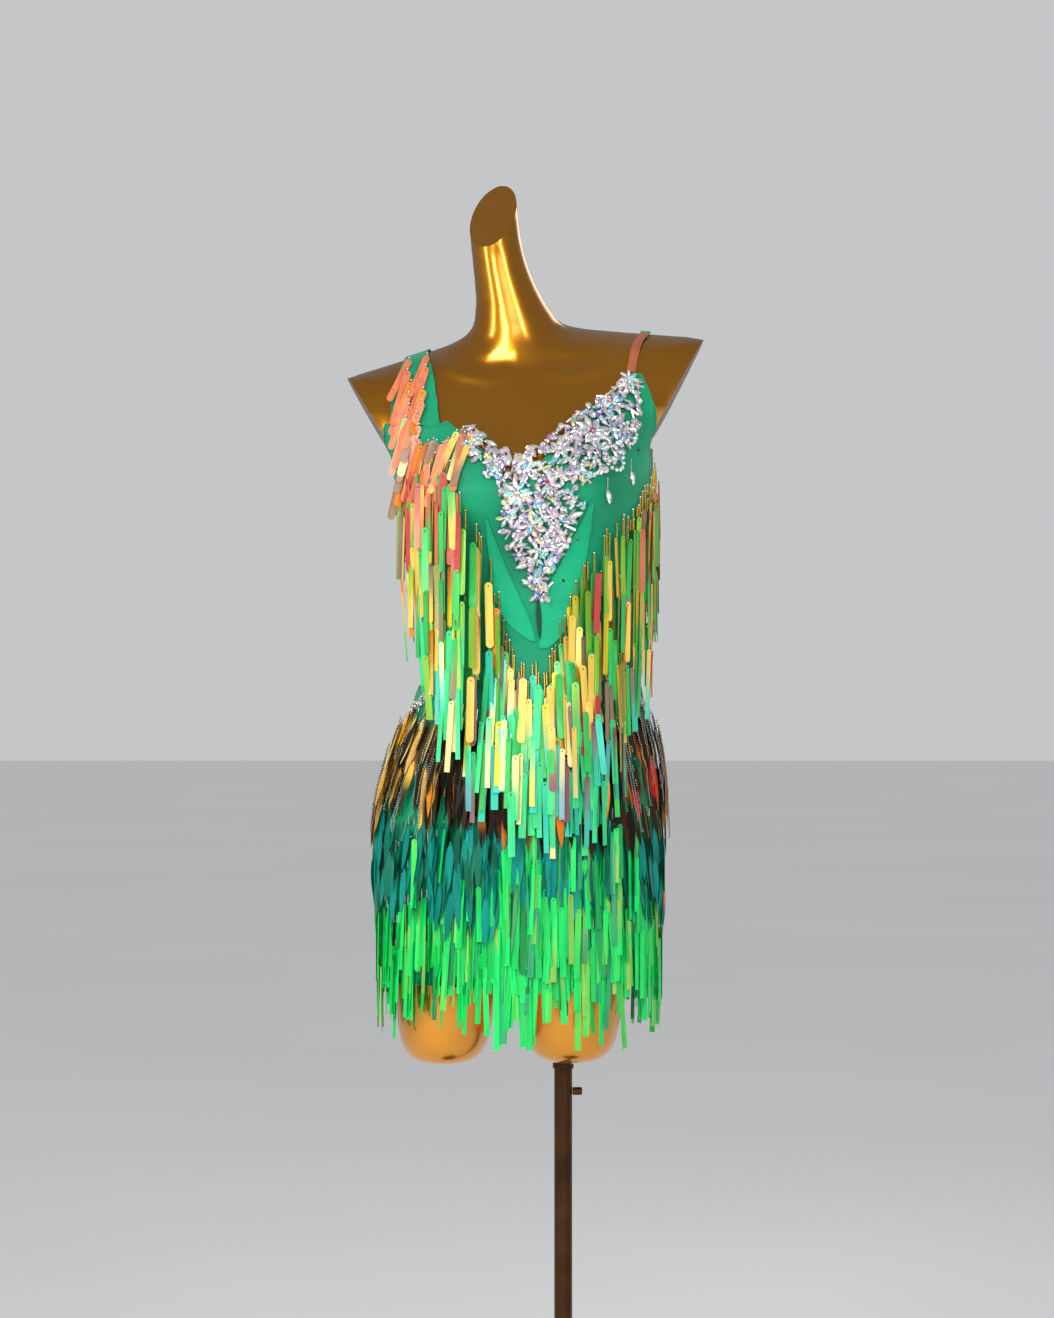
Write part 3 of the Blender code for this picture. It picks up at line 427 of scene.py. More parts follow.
def make_form():
    """The torso: its limbs are lengthened, smoothed, and cut again where they were cut."""
    bm = bmesh.new()
    bm.from_mesh(NODES["form_torso"].data)
    bmesh.ops.remove_doubles(bm, verts=bm.verts[:], dist=1e-5)
    bm.normal_update()
    cuts = lengthen_limbs(bm)
    mesh = bpy.data.meshes.new("form")
    bm.to_mesh(mesh)
    bm.free()
    form = new_mesh_object("form", mesh, MATERIALS["gold"], "gold")
    smooth_evenly(form)
    for centre, normal, rim in cuts:
        box = cut_box(centre, normal, rim)
        cut = form.modifiers.new("cut", "BOOLEAN")
        cut.operation = "DIFFERENCE"
        cut.solver = "EXACT"
        cut.object = box
        applied(form)
        bpy.data.objects.remove(box)
    form.data.materials.clear()
    form.data.materials.append(MATERIALS["gold"])
    raise_collarbones(form)
    shade_smooth(form, 30)
    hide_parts("form_torso")
    return form


# the collarbones' ridges: across from the middle line, height
COLLARBONES = (
    ((-0.098, 1.418), (-0.070, 1.403), (-0.040, 1.397), (-0.012, 1.404)),
    ((0.014, 1.405), (0.045, 1.400), (0.078, 1.410), (0.108, 1.430)),
)


def raise_collarbones(form):
    """A low ridge with a shallow hollow above it, on the front below the neck."""
    for vert in form.data.vertices:
        if vert.normal.y > -0.15 or not 1.36 < vert.co.z < 1.47:
            continue
        across = vert.co.x - BODY_X
        for line in COLLARBONES:
            share = (across - line[0][0]) / (line[-1][0] - line[0][0])
            if not 0 < share < 1:
                continue
            height = float(np.interp(across, [p[0] for p in line], [p[1] for p in line]))
            off = vert.co.z - height
            ends = math.sin(math.pi * share) ** 0.7
            ridge = 2.2 * MM * math.exp(-((off / 0.007) ** 2))
            hollow = 2.6 * MM * math.exp(-(((off - 0.017) / 0.010) ** 2))
            vert.co += vert.normal * (ridge - hollow) * ends
    form.data.update()


def make_stand():
    """The stand keeps its modelled shapes, with small rounded edges."""
    for name in ("pole", "pole_ferrule", "thumbscrew", "base_plate", "base_hub"):
        node = NODES[name]
        node.data.materials.clear()
        node.data.materials.append(MATERIALS["steel"])
        rounded = node.modifiers.new("edges", "BEVEL")
        rounded.width = 0.4 * MM
        rounded.segments = 2
        rounded.limit_method = "ANGLE"
        rounded.angle_limit = math.radians(50)
        rounded.harden_normals = True


# ---- what lies round the body ----------------------------------------------------------------
CAP_SPREAD = 0.4  # each strip's own cap is its region's cap less up to this share of it


class Drum:
    """How far out the body is at each angle and height, and what already lies on it."""

    TURN = 1.5
    RISE = 4.0 * MM

    def __init__(self, form):
        mesh = form.data
        mesh.calc_loop_triangles()
        self.tree = BVHTree.FromPolygons(
            [v.co.copy() for v in mesh.vertices], [tuple(t.vertices) for t in mesh.loop_triangles]
        )
        self.turns = round(360 / self.TURN)
        self.levels = math.ceil((DRUM_HIGH - DRUM_LOW) / self.RISE) + 1
        self.base = np.zeros((self.turns, self.levels))
        for t in range(self.turns):
            turn = math.radians(t * self.TURN)
            outward = Vector((math.sin(turn), -math.cos(turn), 0))
            for level in range(self.levels):
                height = max(DRUM_LOW + level * self.RISE, FORM_LOW)
                hit = self.tree.ray_cast(Vector((BODY_X, 0, height)), outward)[0]
                self.base[t, level] = (hit - Vector((BODY_X, 0, height))).length
        self.base += CLOTH_ON_FORM + CLOTH_THICK + 0.5 * MM
        waist = self.level(WAIST)
        for level in range(waist - 1, -1, -1):
            self.base[:, level] = np.maximum(self.base[:, level], self.base[:, level + 1])
        self.taken = self.base.copy()

    def level(self, height):
        return min(max(round((height - DRUM_LOW) / self.RISE), 0), self.levels - 1)

    def columns(self, angle, width, radius):
        half = math.degrees(width / 2 / radius)
        count = max(1, math.ceil(2 * half / self.TURN))
        return [
            round((angle - half + 2 * half * k / count) / self.TURN) % self.turns
            for k in range(count + 1)
        ]

    def hang_radius(self, angle, top, height):
        """How far out a strand hung from top is at this height."""
        column = round(angle / self.TURN) % self.turns
        low, high = self.level(height), self.level(top)
        return self.base[column, low : high + 1].max()

    def lay(self, angle, low_angle, top, low, width, most, hung_from):
        """(radius at the top, radius at the bottom) of a flat strip on what lies there already.

        It is kept within a cap on the depth, where it may cut through the strips under it.
        """
        radius = self.hang_radius(angle, hung_from, top)
        start, end = self.level(low), self.level(top)
        rows = np.arange(start, end + 1)
        leaning = np.linspace(low_angle, angle, len(rows))
        columns = np.array([self.columns(a, width, radius) for a in leaning])
        spot = (columns, rows[:, None])
        under = self.taken[spot].max(axis=1)
        floor = np.array(
            [self.hang_radius(low_angle, hung_from, low), self.hang_radius(angle, hung_from, top)]
        )
        third = max(1, len(under) // 3)
        bottom, upper = under[:third].max(), under[-third:].max()
        share = np.linspace(0, 1, len(under))
        lift = max(0.0, (under - lerp(bottom, upper, share)).max())
        found = np.maximum(np.array((bottom, upper)) + lift + 0.35 * MM, floor + 0.4 * MM)
        found = np.minimum(found, floor + most * (1 - random.uniform(0, CAP_SPREAD)))
        now = np.maximum(under, lerp(found[0], found[1], share))
        self.taken[spot] = np.maximum(self.taken[spot], now[:, None])
        return found[1], found[0]


# ---- cloth ----------------------------------------------------------------------------------
def boundary_neighbours(bm):
    """For each vertex on the cloth's edge, its two neighbours along that edge."""
    found = {}
    for edge in bm.edges:
        if len(edge.link_faces) == 1:
            for a, b in (edge.verts, reversed(edge.verts)):
                found.setdefault(a, []).append(b)
    return found


def skin_of(node, outward, cuts=3, rounds=14, corner=55):
    """The outer side of a CAD wall, finely divided, with its faceted edges smoothed into curves."""
    bm = bmesh.new()
    bm.from_mesh(node.data)
    bmesh.ops.remove_doubles(bm, verts=bm.verts[:], dist=1e-5)
    bm.normal_update()
    inner = [f for f in bm.faces if f.normal.dot(outward(f.calc_center_median())) < 0.12]
    bmesh.ops.delete(bm, geom=inner, context="FACES")
    kept = set()
    for vert, sides in boundary_neighbours(bm).items():
        turn = 180 if len(sides) != 2 else (vert.co - sides[0].co).angle(sides[1].co - vert.co)
        if turn > math.radians(corner):
            kept.add(vert.co.to_tuple(6))
    bmesh.ops.subdivide_edges(bm, edges=bm.edges[:], cuts=cuts, use_grid_fill=True)
    edge = boundary_neighbours(bm)
    free = [vert for vert in bm.verts if vert.co.to_tuple(6) not in kept]
    for _ in range(rounds):
        moved = {}
        for vert in free:
            sides = edge.get(vert) or [e.other_vert(vert) for e in vert.link_edges]
            mean = sum((v.co for v in sides), Vector()) / len(sides)
            moved[vert] = vert.co.lerp(mean, 0.5)
        for vert, place in moved.items():
            vert.co = place
    return bm


def bind_edges(name, bm, outward, material, slot):
    """A narrow binding along the cloth's edges, and a row of stitches just inside them."""
    binding = Builder()
    for edge in bm.edges:
        if len(edge.link_faces) != 1:
            continue
        a, b = (v.co + outward(v.co) * 0.5 * MM for v in edge.verts)
        if (b - a).length < 0.3 * MM:
            continue
        add_tube(binding, a, b, 0.75 * MM, (1, 1, 1))
        face = edge.link_faces[0]
        inward = (face.calc_center_median() - (a + b) / 2).normalized() * 3.2 * MM
        lift = face.normal * 0.75 * MM
        start, end = a.lerp(b, 0.15) + inward + lift, a.lerp(b, 0.62) + inward + lift
        add_tube(binding, start, end, 0.22 * MM, (1, 1, 1))
    return binding.make(name + "_binding", material, slot, smooth=True)


# soft creases of each piece: one end and the other as (across, height), width, depth
CREASES = {
    "bodice_front": (
        ((-0.030, 1.135), (0.010, 1.108), 5.0 * MM, 1.3 * MM),
        ((0.045, 1.128), (0.008, 1.100), 5.0 * MM, 1.2 * MM),
        ((-0.075, 1.240), (-0.045, 1.175), 6.0 * MM, 1.1 * MM),
        ((0.085, 1.225), (0.055, 1.160), 6.0 * MM, 1.1 * MM),
        ((-0.085, 1.290), (-0.055, 1.262), 5.0 * MM, 0.9 * MM),
        ((0.118, 1.300), (0.090, 1.272), 5.0 * MM, 0.9 * MM),
    ),
    "skirt_front": (
        ((-0.060, 1.070), (-0.085, 0.990), 6.0 * MM, 1.2 * MM),
        ((0.060, 1.070), (0.082, 0.995), 6.0 * MM, 1.2 * MM),
        ((-0.030, 0.930), (0.000, 0.885), 7.0 * MM, 1.2 * MM),
    ),
}


def creases_of(name, drum):
    return [
        (front_place(drum, *start), front_place(drum, *end), width, depth)
        for start, end, width, depth in CREASES.get(name, ())
    ]


def crease_depth(point, creases):
    """How far in the cloth is pressed here by soft creases: each has two ends, a width and a depth."""
    depth = 0.0
    for start, end, width, deep in creases:
        line = end - start
        share = min(max((point - start).dot(line) / line.length_squared, 0), 1)
        away = (point - start - line * share).length
        fade = math.sin(math.pi * min(max(share, 0.03), 0.97)) ** 0.5
        depth += deep * fade * math.exp(-((away / width) ** 2))
    return depth


def cloth_piece(name, bm, drum, material, slot, away):
    """A cloth shell from its skin, and its binding. With away, it lies that far off the form."""
    creases = creases_of(name, drum)
    for vert in bm.verts:
        if away is not None:
            place, normal, _, _ = drum.tree.find_nearest(vert.co)
            vert.co = place + normal * away
        wave = math.sin(vert.co.z * 310 + vert.co.x * 120) * math.sin(vert.co.x * 260 + vert.co.y * 90)
        shift = RIPPLE * wave - crease_depth(vert.co, creases)
        vert.co += drum_outward(vert.co) * shift
    bm.normal_update()
    name += "_cloth"
    binding = bind_edges(name, bm, drum_outward, material, slot)
    mesh = bpy.data.meshes.new(name)
    bm.to_mesh(mesh)
    bm.free()
    obj = new_mesh_object(name, mesh, material, slot)
    shade_smooth(obj, 60)
    fine = obj.modifiers.new("fine", "SUBSURF")
    fine.levels = fine.render_levels = 1
    thick = obj.modifiers.new("thick", "SOLIDIFY")
    thick.thickness = CLOTH_THICK
    thick.offset = 0
    applied(obj)
    return obj, binding


# name, material, slot, which way its outer side faces, distance from the form (None: where its
# solid is), then the flat width, length and area that it is taken to have been cut to
CLOTHS = (
    ("bodice_front", "green", "green_cloth", drum_outward, CLOTH_ON_FORM, 0.400, 0.335, 0.0900),
    ("bodice_back", "green", "green_cloth", drum_outward, CLOTH_ON_FORM, 0.330, 0.275, 0.0670),
    ("side_insert_left", "nude", "nude_mesh", drum_outward, CLOTH_ON_FORM, 0.045, 0.240, 0.0061),
    ("side_insert_right", "nude", "nude_mesh", drum_outward, CLOTH_ON_FORM, 0.034, 0.252, 0.0042),
    ("neck_gusset", "nude", "nude_mesh", drum_outward, CLOTH_ON_FORM, 0.033, 0.021, 0.0003),
    ("strap_wide", "green", "green_cloth", saddle_outward, CLOTH_ON_FORM, 0.052, 0.190, 0.0078),
    ("strap_thin", "nude", "nude_mesh", saddle_outward, CLOTH_ON_FORM, 0.010, 0.090, 0.0007),
    ("strap_thin_back", "green", "green_cloth", saddle_outward, CLOTH_ON_FORM, 0.010, 0.150, 0.0014),
    ("band_left", "band", "green_mesh", drum_outward, BAND_ON_FORM, 0.030, 0.126, 0.0021),
    ("band_right", "band", "green_mesh", drum_outward, BAND_ON_FORM, 0.034, 0.152, 0.0035),
    ("skirt_front", "green", "green_cloth", drum_outward, None, 0.400, 0.310, 0.1150),
    ("skirt_back", "green", "green_cloth", drum_outward, None, 0.430, 0.310, 0.1220),
)


def make_keyhole(drum):
    """The narrow slit between the two bands, where a darker green patch is painted shade in the slit."""
    slit_shade = Builder()
    rows = 12
    places = []
    for k in range(rows + 1):
        share = k / rows
        half = 2.6 * MM * math.sin(math.pi * min(share * 0.92 + 0.04, 1)) ** 0.7
        for side in (-1, 1):
            across = lerp(0.011, 0.013, share) + side * half
            start = front_place(drum, across, lerp(1.172, 1.128, share))
            places.append(on_cloth(drum, start, 5.4 * MM)[0])
    faces = [(2 * k, 2 * k + 1, 2 * k + 3, 2 * k + 2) for k in range(rows)]
    slit_shade.add(places, faces, [(1, 1, 1)] * len(places))
    # painted shade: the dark patch stands where the slit is in shade
    piece = slit_shade.make("keyhole_painted_shade", MATERIALS["slit_shade"], "green_mesh")


def make_cloths(drum):
    """All the cloth pieces, each with its binding."""
    for name, material, slot, outward, away, *flat in CLOTHS:
        bm = skin_of(NODES[name], outward)
        cloth, binding = cloth_piece(name, bm, drum, MATERIALS[material], slot, away)
        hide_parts(name)
        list(flat)


# ---- shapes of the fringe's parts --------------------------------------------------------------
def rounded_end(half, centre_y, start, steps=6):
    """A half circle of a strip's outline, from start degrees."""
    return [
        (
            half * math.cos(math.radians(start + 180 * k / steps)),
            centre_y + half * math.sin(math.radians(start + 180 * k / steps)),
        )
        for k in range(steps + 1)
    ]


def strip_shape(width, length, square_end, hole=0.9 * MM):
    """A film strip: (points, triangles), hung by a hole near its top. Its top is at y = 0."""
    half = width / 2
    outline = rounded_end(half, -half, 0)
    outline += [(-half, -length * 0.42), (-half, -length * 0.62)]
    if square_end:
        outline += [(-half, -length), (half, -length)]
    else:
        outline += rounded_end(half, half - length, 180)
    outline += [(half, -length * 0.62), (half, -length * 0.42)]
    return flat_shape([outline, [(x, -half - y) for x, y in circle(hole, 6)]])


def leaf_shape(width, length, hole=0.8 * MM):
    """A pointed oval leaf with its widest place a little below the middle."""
    steps = 9
    side = []
    for k in range(1, steps):
        share = k / steps
        swell = math.sin(math.pi * share**0.85) ** 0.8
        side.append((width / 2 * swell, -length * share))
    outline = [(0, 0)] + [(-x, y) for x, y in side] + [(0, -length)] + side[::-1]
    return flat_shape([outline, [(x, -4.5 * MM - y) for x, y in circle(hole, 5)]])


def flat_shape(loops):
    points = [Vector((x, y, 0)) for loop in loops for x, y in loop]
    faces = tessellate_polygon([[Vector((x, y, 0)) for x, y in loop] for loop in loops])
    return points, [tuple(f) for f in faces]


def tube_shape(sides=6):
    """A round bead's wall, of unit radius and unit length, hanging down from its top."""
    points = [Vector((x, y, -end)) for end in (0, 1) for x, y in circle(1, sides)]
    faces = [(k, (k + 1) % sides, sides + (k + 1) % sides, sides + k) for k in range(sides)]
    faces += [tuple(range(sides - 1, -1, -1)), tuple(range(sides, 2 * sides))]
    return points, faces


TUBE = tube_shape()
BEAD_RINGS = ((0.0, 0.35), (0.22, 0.9), (0.5, 1.0), (0.78, 0.9), (1.0, 0.35))


def bead_shape(sides=6):
    """A small round bead of unit radius, two units tall."""
    points = [Vector((x, y, -2 * h)) for h, r in BEAD_RINGS for x, y in circle(r, sides)]
    faces = []
    for start in range(0, (len(BEAD_RINGS) - 1) * sides, sides):
        for k in range(sides):
            n = (k + 1) % sides
            faces.append((start + k, start + n, start + sides + n, start + sides + k))
    faces += [tuple(range(sides - 1, -1, -1)), tuple(range(len(points) - sides, len(points)))]
    return points, faces


BEAD = bead_shape()
DROP_POINTS = ((1, 0, 0), (0, 1, 0), (-1, 0, 0), (0, -1, 0), (0, 0, 1), (0, 0, -1))
DROP = (
    [Vector(p) for p in DROP_POINTS],
    [(0, 1, 4), (1, 2, 4), (2, 3, 4), (3, 0, 4), (1, 0, 5), (2, 1, 5), (3, 2, 5), (0, 3, 5)],
)


def add_strip(builder, shape, top, bottom, facing, twist, tints):
    """Lays a strip from top to bottom, facing outwards, turned about its length by twist degrees."""
    points, faces = shape
    down = (bottom - top).normalized()
    side = facing.cross(down).normalized()
    front = down.cross(side)
    length = -min(p.y for p in points)
    placed, colours = [], []
    for p in points:
        share = -p.y / length
        turn = math.radians(lerp(twist[0], twist[1], share))
        across = side * math.cos(turn) + front * math.sin(turn)
        placed.append(top - down * p.y + across * p.x)
        colours.append(gradient(tints, share))
    builder.add(placed, faces, colours)


def gradient(tints, share):
    """Colour at this share of a strip's length; the change from tint to tint is quick."""
    spans = len(tints) - 1
    if spans == 0:
        return tints[0]
    place = min(share * spans, spans - 1e-6)
    first = int(place)
    t = min(max((place - first - 0.3) / 0.4, 0), 1)
    return mix(tints[first], tints[first + 1], t)


def add_tube(builder, start, end, radius, tint):
    points, faces = TUBE
    axis = end - start
    side = axis.cross(Vector((0, 1, 0.01))).normalized()
    other = axis.cross(side).normalized()
    placed = [start - axis * p.z + (side * p.x + other * p.y) * radius for p in points]
    builder.add(placed, faces, [tint] * len(placed))


def add_bead(builder, top, radius, tint):
    points, faces = BEAD
    builder.add([top + p * radius for p in points], faces, [tint] * len(points))


# ---- fringe ---------------------------------------------------------------------------------
GOLD_BEAD = srgb(214, 168, 52)
OLIVE_BEAD = srgb(150, 132, 40)
SILVER_BEAD = srgb(226, 230, 232)
GREEN_BEAD = srgb(30, 120, 84)

PEACH = srgb(236, 132, 92)
ORANGE = srgb(240, 140, 40)
YELLOW = srgb(255, 214, 96)
LEMON = srgb(232, 214, 40)
CREAM = srgb(252, 236, 160)
LIME = srgb(140, 206, 66)
GREEN = srgb(64, 200, 96)
MINT = srgb(66, 226, 142)
AQUA = srgb(54, 206, 176)
STEEL_BLUE = srgb(96, 160, 176)
TAUPE = srgb(156, 130, 108)
MAUVE = srgb(146, 92, 104)
RED = srgb(196, 66, 66)
OLIVE = srgb(150, 160, 70)

# what the bodice's strips show at each height: height, then tints with their weights
BODICE_TINTS = (
    (1.36, ((PEACH, 10), (ORANGE, 2), (TAUPE, 1), (RED, 1))),
    (1.29, ((PEACH, 7), (GREEN, 5), (YELLOW, 3), (TAUPE, 2), (RED, 1))),
    (1.22, ((GREEN, 8), (YELLOW, 6), (LIME, 3), (TAUPE, 2), (RED, 2), (OLIVE, 2), (PEACH, 1))),
    (1.13, ((YELLOW, 6), (GREEN, 7), (LIME, 3), (TAUPE, 2), (LEMON, 2), (ORANGE, 2), (MINT, 2))),
    (1.05, ((GREEN, 6), (YELLOW, 4), (MINT, 6), (LEMON, 2), (MAUVE, 2), (CREAM, 2), (AQUA, 2))),
    (0.97, ((MINT, 9), (AQUA, 4), (GREEN, 3), (CREAM, 2), (STEEL_BLUE, 2), (YELLOW, 1), (MAUVE, 1))),
    (0.90, ((MINT, 8), (AQUA, 5), (STEEL_BLUE, 2), (CREAM, 1), (MAUVE, 1))),
)

RIGHT_TINTS = ((YELLOW, 6), (TAUPE, 4), (LIME, 3), (RED, 2), (OLIVE, 2), (GREEN, 2), (ORANGE, 1))

BRONZE_TINTS = (
    (srgb(34, 20, 8), 14),
    (srgb(22, 14, 6), 12),
    (srgb(58, 36, 12), 6),
    (srgb(10, 54, 34), 3),
    (srgb(120, 74, 16), 2),
    (srgb(216, 120, 30), 0.8),
    (srgb(190, 30, 18), 0.4),
)
TEAL_TINTS = (
    (srgb(0, 140, 126), 10),
    (srgb(4, 124, 104), 7),
    (srgb(12, 100, 74), 4),
    (srgb(0, 152, 142), 4),
    (srgb(30, 128, 100), 3),
    (srgb(240, 140, 100), 0.25),
)
NEON_TINTS = (
    (srgb(0, 220, 100), 13),
    (srgb(24, 226, 104), 9),
    (srgb(84, 214, 84), 3),
    (srgb(136, 204, 86), 2),
    (srgb(18, 150, 76), 2),
    (srgb(54, 168, 116), 2),
    (srgb(170, 210, 96), 1),
)
# the left hip's leaves: dark leaf tints, with gold and cream painted glints of the key light
LEAF_AND_GLINT_TINTS = (
    (srgb(236, 184, 66), 5),
    (srgb(252, 226, 130), 4),
    (srgb(120, 80, 20), 5),
    (srgb(60, 38, 12), 6),
    (srgb(232, 140, 50), 1.5),
)
AUTUMN_TINTS = (
    (srgb(46, 27, 10), 10),
    (srgb(150, 84, 20), 4),
    (srgb(206, 110, 30), 3),
    (srgb(214, 24, 18), 1.6),
    (srgb(0, 96, 70), 3),
    (srgb(220, 170, 70), 1.5),
)


def leaf_tint(tints, angle):
    """Over the left hip most brown leaves take gold and cream tints, painted glints of the key light
    mixed with dark leaf tints; over the right one they are autumn-coloured.
    """
    angle = (angle + 180) % 360 - 180
    if tints is BRONZE_TINTS and random.random() < 0.75:
        # painted glints on the left hip, the side the key light falls on
        if -110 < angle < -44:
            tints = LEAF_AND_GLINT_TINTS
        elif 44 < angle < 110:
            tints = AUTUMN_TINTS
    return varied(weighted(tints), 0.2)


def weighted(pairs):
    return random.choices([p[0] for p in pairs], [p[1] for p in pairs])[0]


def varied(tint, amount=0.12):
    factor = 1 + random.uniform(-amount, amount)
    return tuple(min(c * factor, 1.0) for c in tint)


def bodice_tint(height, angle):
    """A strip's colour here: the right side is warmer and browner than the left."""
    if angle > 18 and height > 1.04 and random.random() < 0.55:
        return varied(weighted(RIGHT_TINTS))
    for (high, upper), (low, lower) in zip(BODICE_TINTS, BODICE_TINTS[1:]):
        if height > low:
            chance = min(max((high - height) / (high - low), 0), 1)
            return varied(weighted(lower if random.random() < chance else upper))
    return varied(weighted(BODICE_TINTS[-1][1]))


PADDLE = strip_shape(8.0 * MM, 67 * MM, False)
PADDLE_NARROW = strip_shape(6.6 * MM, 62 * MM, False)
TAIL = strip_shape(7.4 * MM, 66 * MM, True)
TAIL_NARROW = strip_shape(5.6 * MM, 72 * MM, True)
LEAF = leaf_shape(9.0 * MM, 54 * MM)
LEAF_NARROW = leaf_shape(7.0 * MM, 48 * MM)
NEON = strip_shape(6.4 * MM, 71 * MM, True, hole=0.7 * MM)
NEON_SHORT = strip_shape(5.4 * MM, 56 * MM, True, hole=0.7 * MM)


def shape_size(shape):
    points, _ = shape
    return max(p.x for p in points) * 2, -min(p.y for p in points)


class Fringe:
    """One region's fringe: its strips and its beads are two meshes.

    Its strips stack up to the given depth, and to less above the waist, least at the sides.
    """

    def __init__(self, drum, most, most_above=None):
        self.drum, self.most = drum, most
        self.most_above = most_above or most
        self.strips, self.beads = Builder(), Builder()

    def strip(self, shape, angle, height, hung_from, tints, turned=14, lean=0.0):
        """Hangs a strip by its top, leaning sideways by lean degrees, and gives its lower end."""
        width, length = shape_size(shape)
        radius = self.drum.hang_radius(angle, hung_from, height)
        low = height - length * math.cos(math.radians(lean))
        low_angle = angle + math.degrees(length * math.sin(math.radians(lean)) / radius)
        above = min(max((height - WAIST) / 0.06, 0), 1)
        upper = self.most_above * (1 + max(math.cos(math.radians(angle)), 0))
        most = lerp(self.most, min(upper, self.most), above)
        top_radius, low_radius = self.drum.lay(
            angle, low_angle, height, low, width, most, hung_from
        )
        top = drum_point(angle, height, top_radius)
        bottom = drum_point(low_angle, low, low_radius)
        yaw = random.gauss(0, turned)
        twist = (yaw, yaw + random.uniform(-6, 6))
        add_strip(self.strips, shape, top, bottom, drum_outward(top), twist, tints)
        return low_angle, low

    def place(self, angle, height, hung_from):
        radius = self.drum.hang_radius(angle, hung_from, height) + 1.6 * MM
        return drum_point(angle, height, radius)

    def bugle(self, angle, height, length, hung_from, tint, radius=0.75 * MM):
        start = self.place(angle, height, hung_from)
        end = self.place(angle, height - length, hung_from)
        add_tube(self.beads, start, end, radius, tint)
        return height - length

    def bead(self, angle, height, hung_from, tint, radius=1.2 * MM):
        add_bead(self.beads, self.place(angle, height, hung_from), radius, tint)
        return height - 2 * radius

    def make(self, name, material, slot, node=None):
        strips = self.strips.make(name + "_strips", MATERIALS[material], slot)
        self.beads.make(name + "_beads", MATERIALS["bead"], slot, smooth=True)
        if node:
            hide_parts(node)


def edge_heights(node):
    """The CAD wall's bottom and top height, at every second degree where it stands."""
    tree = BVHTree.FromPolygons(
        [v.co.copy() for v in node.data.vertices], [tuple(p.vertices) for p in node.data.polygons]
    )
    low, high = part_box(node.name)
    lows, highs = {}, {}
    for angle in range(-180, 180, 2):
        turn = math.radians(angle)
        outward = Vector((math.sin(turn), -math.cos(turn), 0))
        for height in np.arange(low.z + 1 * MM, high.z, 3 * MM):
            if tree.ray_cast(Vector((BODY_X, 0, height)), outward)[0] is None:
                continue
            lows.setdefault(angle, float(height))
            highs[angle] = float(height)
    return lows, highs


def height_at(table, angle):
    """The height of a wall's edge at an angle, from a table of (angle, height)."""
    angle = (angle + 180) % 360 - 180
    keys = sorted(table)
    values = [table[k] for k in keys]
    keys = [keys[-1] - 360, *keys, keys[0] + 360]
    values = [values[-1], *values, values[0]]
    return float(np.interp(angle, keys, values))


def bodice_strand(fringe, angle, anchor, low):
    """Bead, gold bugles, then strips down to about the given height; the last is cut square."""
    height = fringe.bead(angle, anchor, anchor, random.choice((SILVER_BEAD, SILVER_BEAD, GOLD_BEAD)))
    height = fringe.bugle(angle, height, random.uniform(8, 26) * MM, anchor, GOLD_BEAD)
    narrow = random.random() < 0.25
    lean = random.gauss(0, 1.2)
    while height - low > 1.35 * shape_size(TAIL)[1]:
        shape = PADDLE_NARROW if narrow or random.random() < 0.2 else PADDLE
        tints = [bodice_tint(height, angle)]
        if random.random() < 0.4:
            tints.append(bodice_tint(height - 0.05, angle))
        angle, bottom = fringe.strip(shape, angle, height, anchor, tints, lean=lean)
        fringe.bead(angle, bottom + 2.5 * MM, anchor, GOLD_BEAD, 0.8 * MM)
        height = bottom + random.uniform(-4, 5) * MM
        if random.random() < 0.3:
            height = fringe.bugle(angle, height, random.uniform(5, 10) * MM, anchor, OLIVE_BEAD)
    shape = TAIL_NARROW if narrow or random.random() < 0.35 else TAIL
    tints = [bodice_tint(height - 0.02, angle)]
    if random.random() < 0.45:
        tints.append(bodice_tint(height - 0.10, angle))
    fringe.strip(shape, angle, height, anchor, tints, lean=lean)


# the strands on the upper left of the chest start higher: by how much, at what angle, over how many
CHEST_LIFT = 0.030
CHEST_ANGLE = -33
CHEST_SPREAD = 14


def make_bodice_fringe(drum, name, layers):
    """Strands from the V of anchors, in layers.

    A layer has an angle step, the least and most that its anchors are dropped below the V, and the
    least and most that its lower ends are raised.
    """
    fringe = Fringe(drum, 20.0 * MM, 6.0 * MM)
    lows, highs = edge_heights(NODES[name])
    angles = sorted(a % 360 if name == "fringe_back" else a for a in lows)
    first, last = angles[0] + 1.5, angles[-1] - 1.5
    for step, drop_low, drop_high, rise_low, rise_high in layers:
        angle = first + random.uniform(0, step)
        while angle < last:
            lift = CHEST_LIFT * math.exp(-(((angle - CHEST_ANGLE) / CHEST_SPREAD) ** 2))
            anchor = height_at(highs, angle) + lift - random.uniform(drop_low, drop_high)
            low = height_at(lows, angle) + random.uniform(rise_low, rise_high)
            if anchor - low > 0.055:
                bodice_strand(fringe, angle, anchor, low)
            angle += step * random.uniform(0.75, 1.25)
    fringe.make(name, "film", "strips", name)


def hip_lean(angle):
    """How far a strand leans outwards over the hips, in degrees: positive is to the right."""
    angle = (angle + 180) % 360 - 180
    bend = math.exp(-(((abs(angle) - 62) / 26) ** 2))
    return math.copysign(15 * bend, angle)


def leaf_strand(fringe, angle, anchor, low, tints, shapes, bead_tint, leaning):
    """A string of tiny beads with leaves or strips hung along it."""
    height = anchor
    while height > low + shape_size(shapes[0])[1]:
        height = fringe.bugle(angle, height, random.uniform(6, 14) * MM, anchor, bead_tint, 0.6 * MM)
        if random.random() < 0.5:
            fringe.bead(angle, height, anchor, SILVER_BEAD, 0.8 * MM)
        shape = random.choice(shapes)
        pair = [leaf_tint(tints, angle) for _ in range(random.choice((1, 1, 1, 2)))]
        lean = hip_lean(angle) * leaning + random.gauss(0, 2.2)
        angle, height = fringe.strip(shape, angle, height, anchor, pair, turned=22, lean=lean)
        height += random.uniform(8, 24) * MM


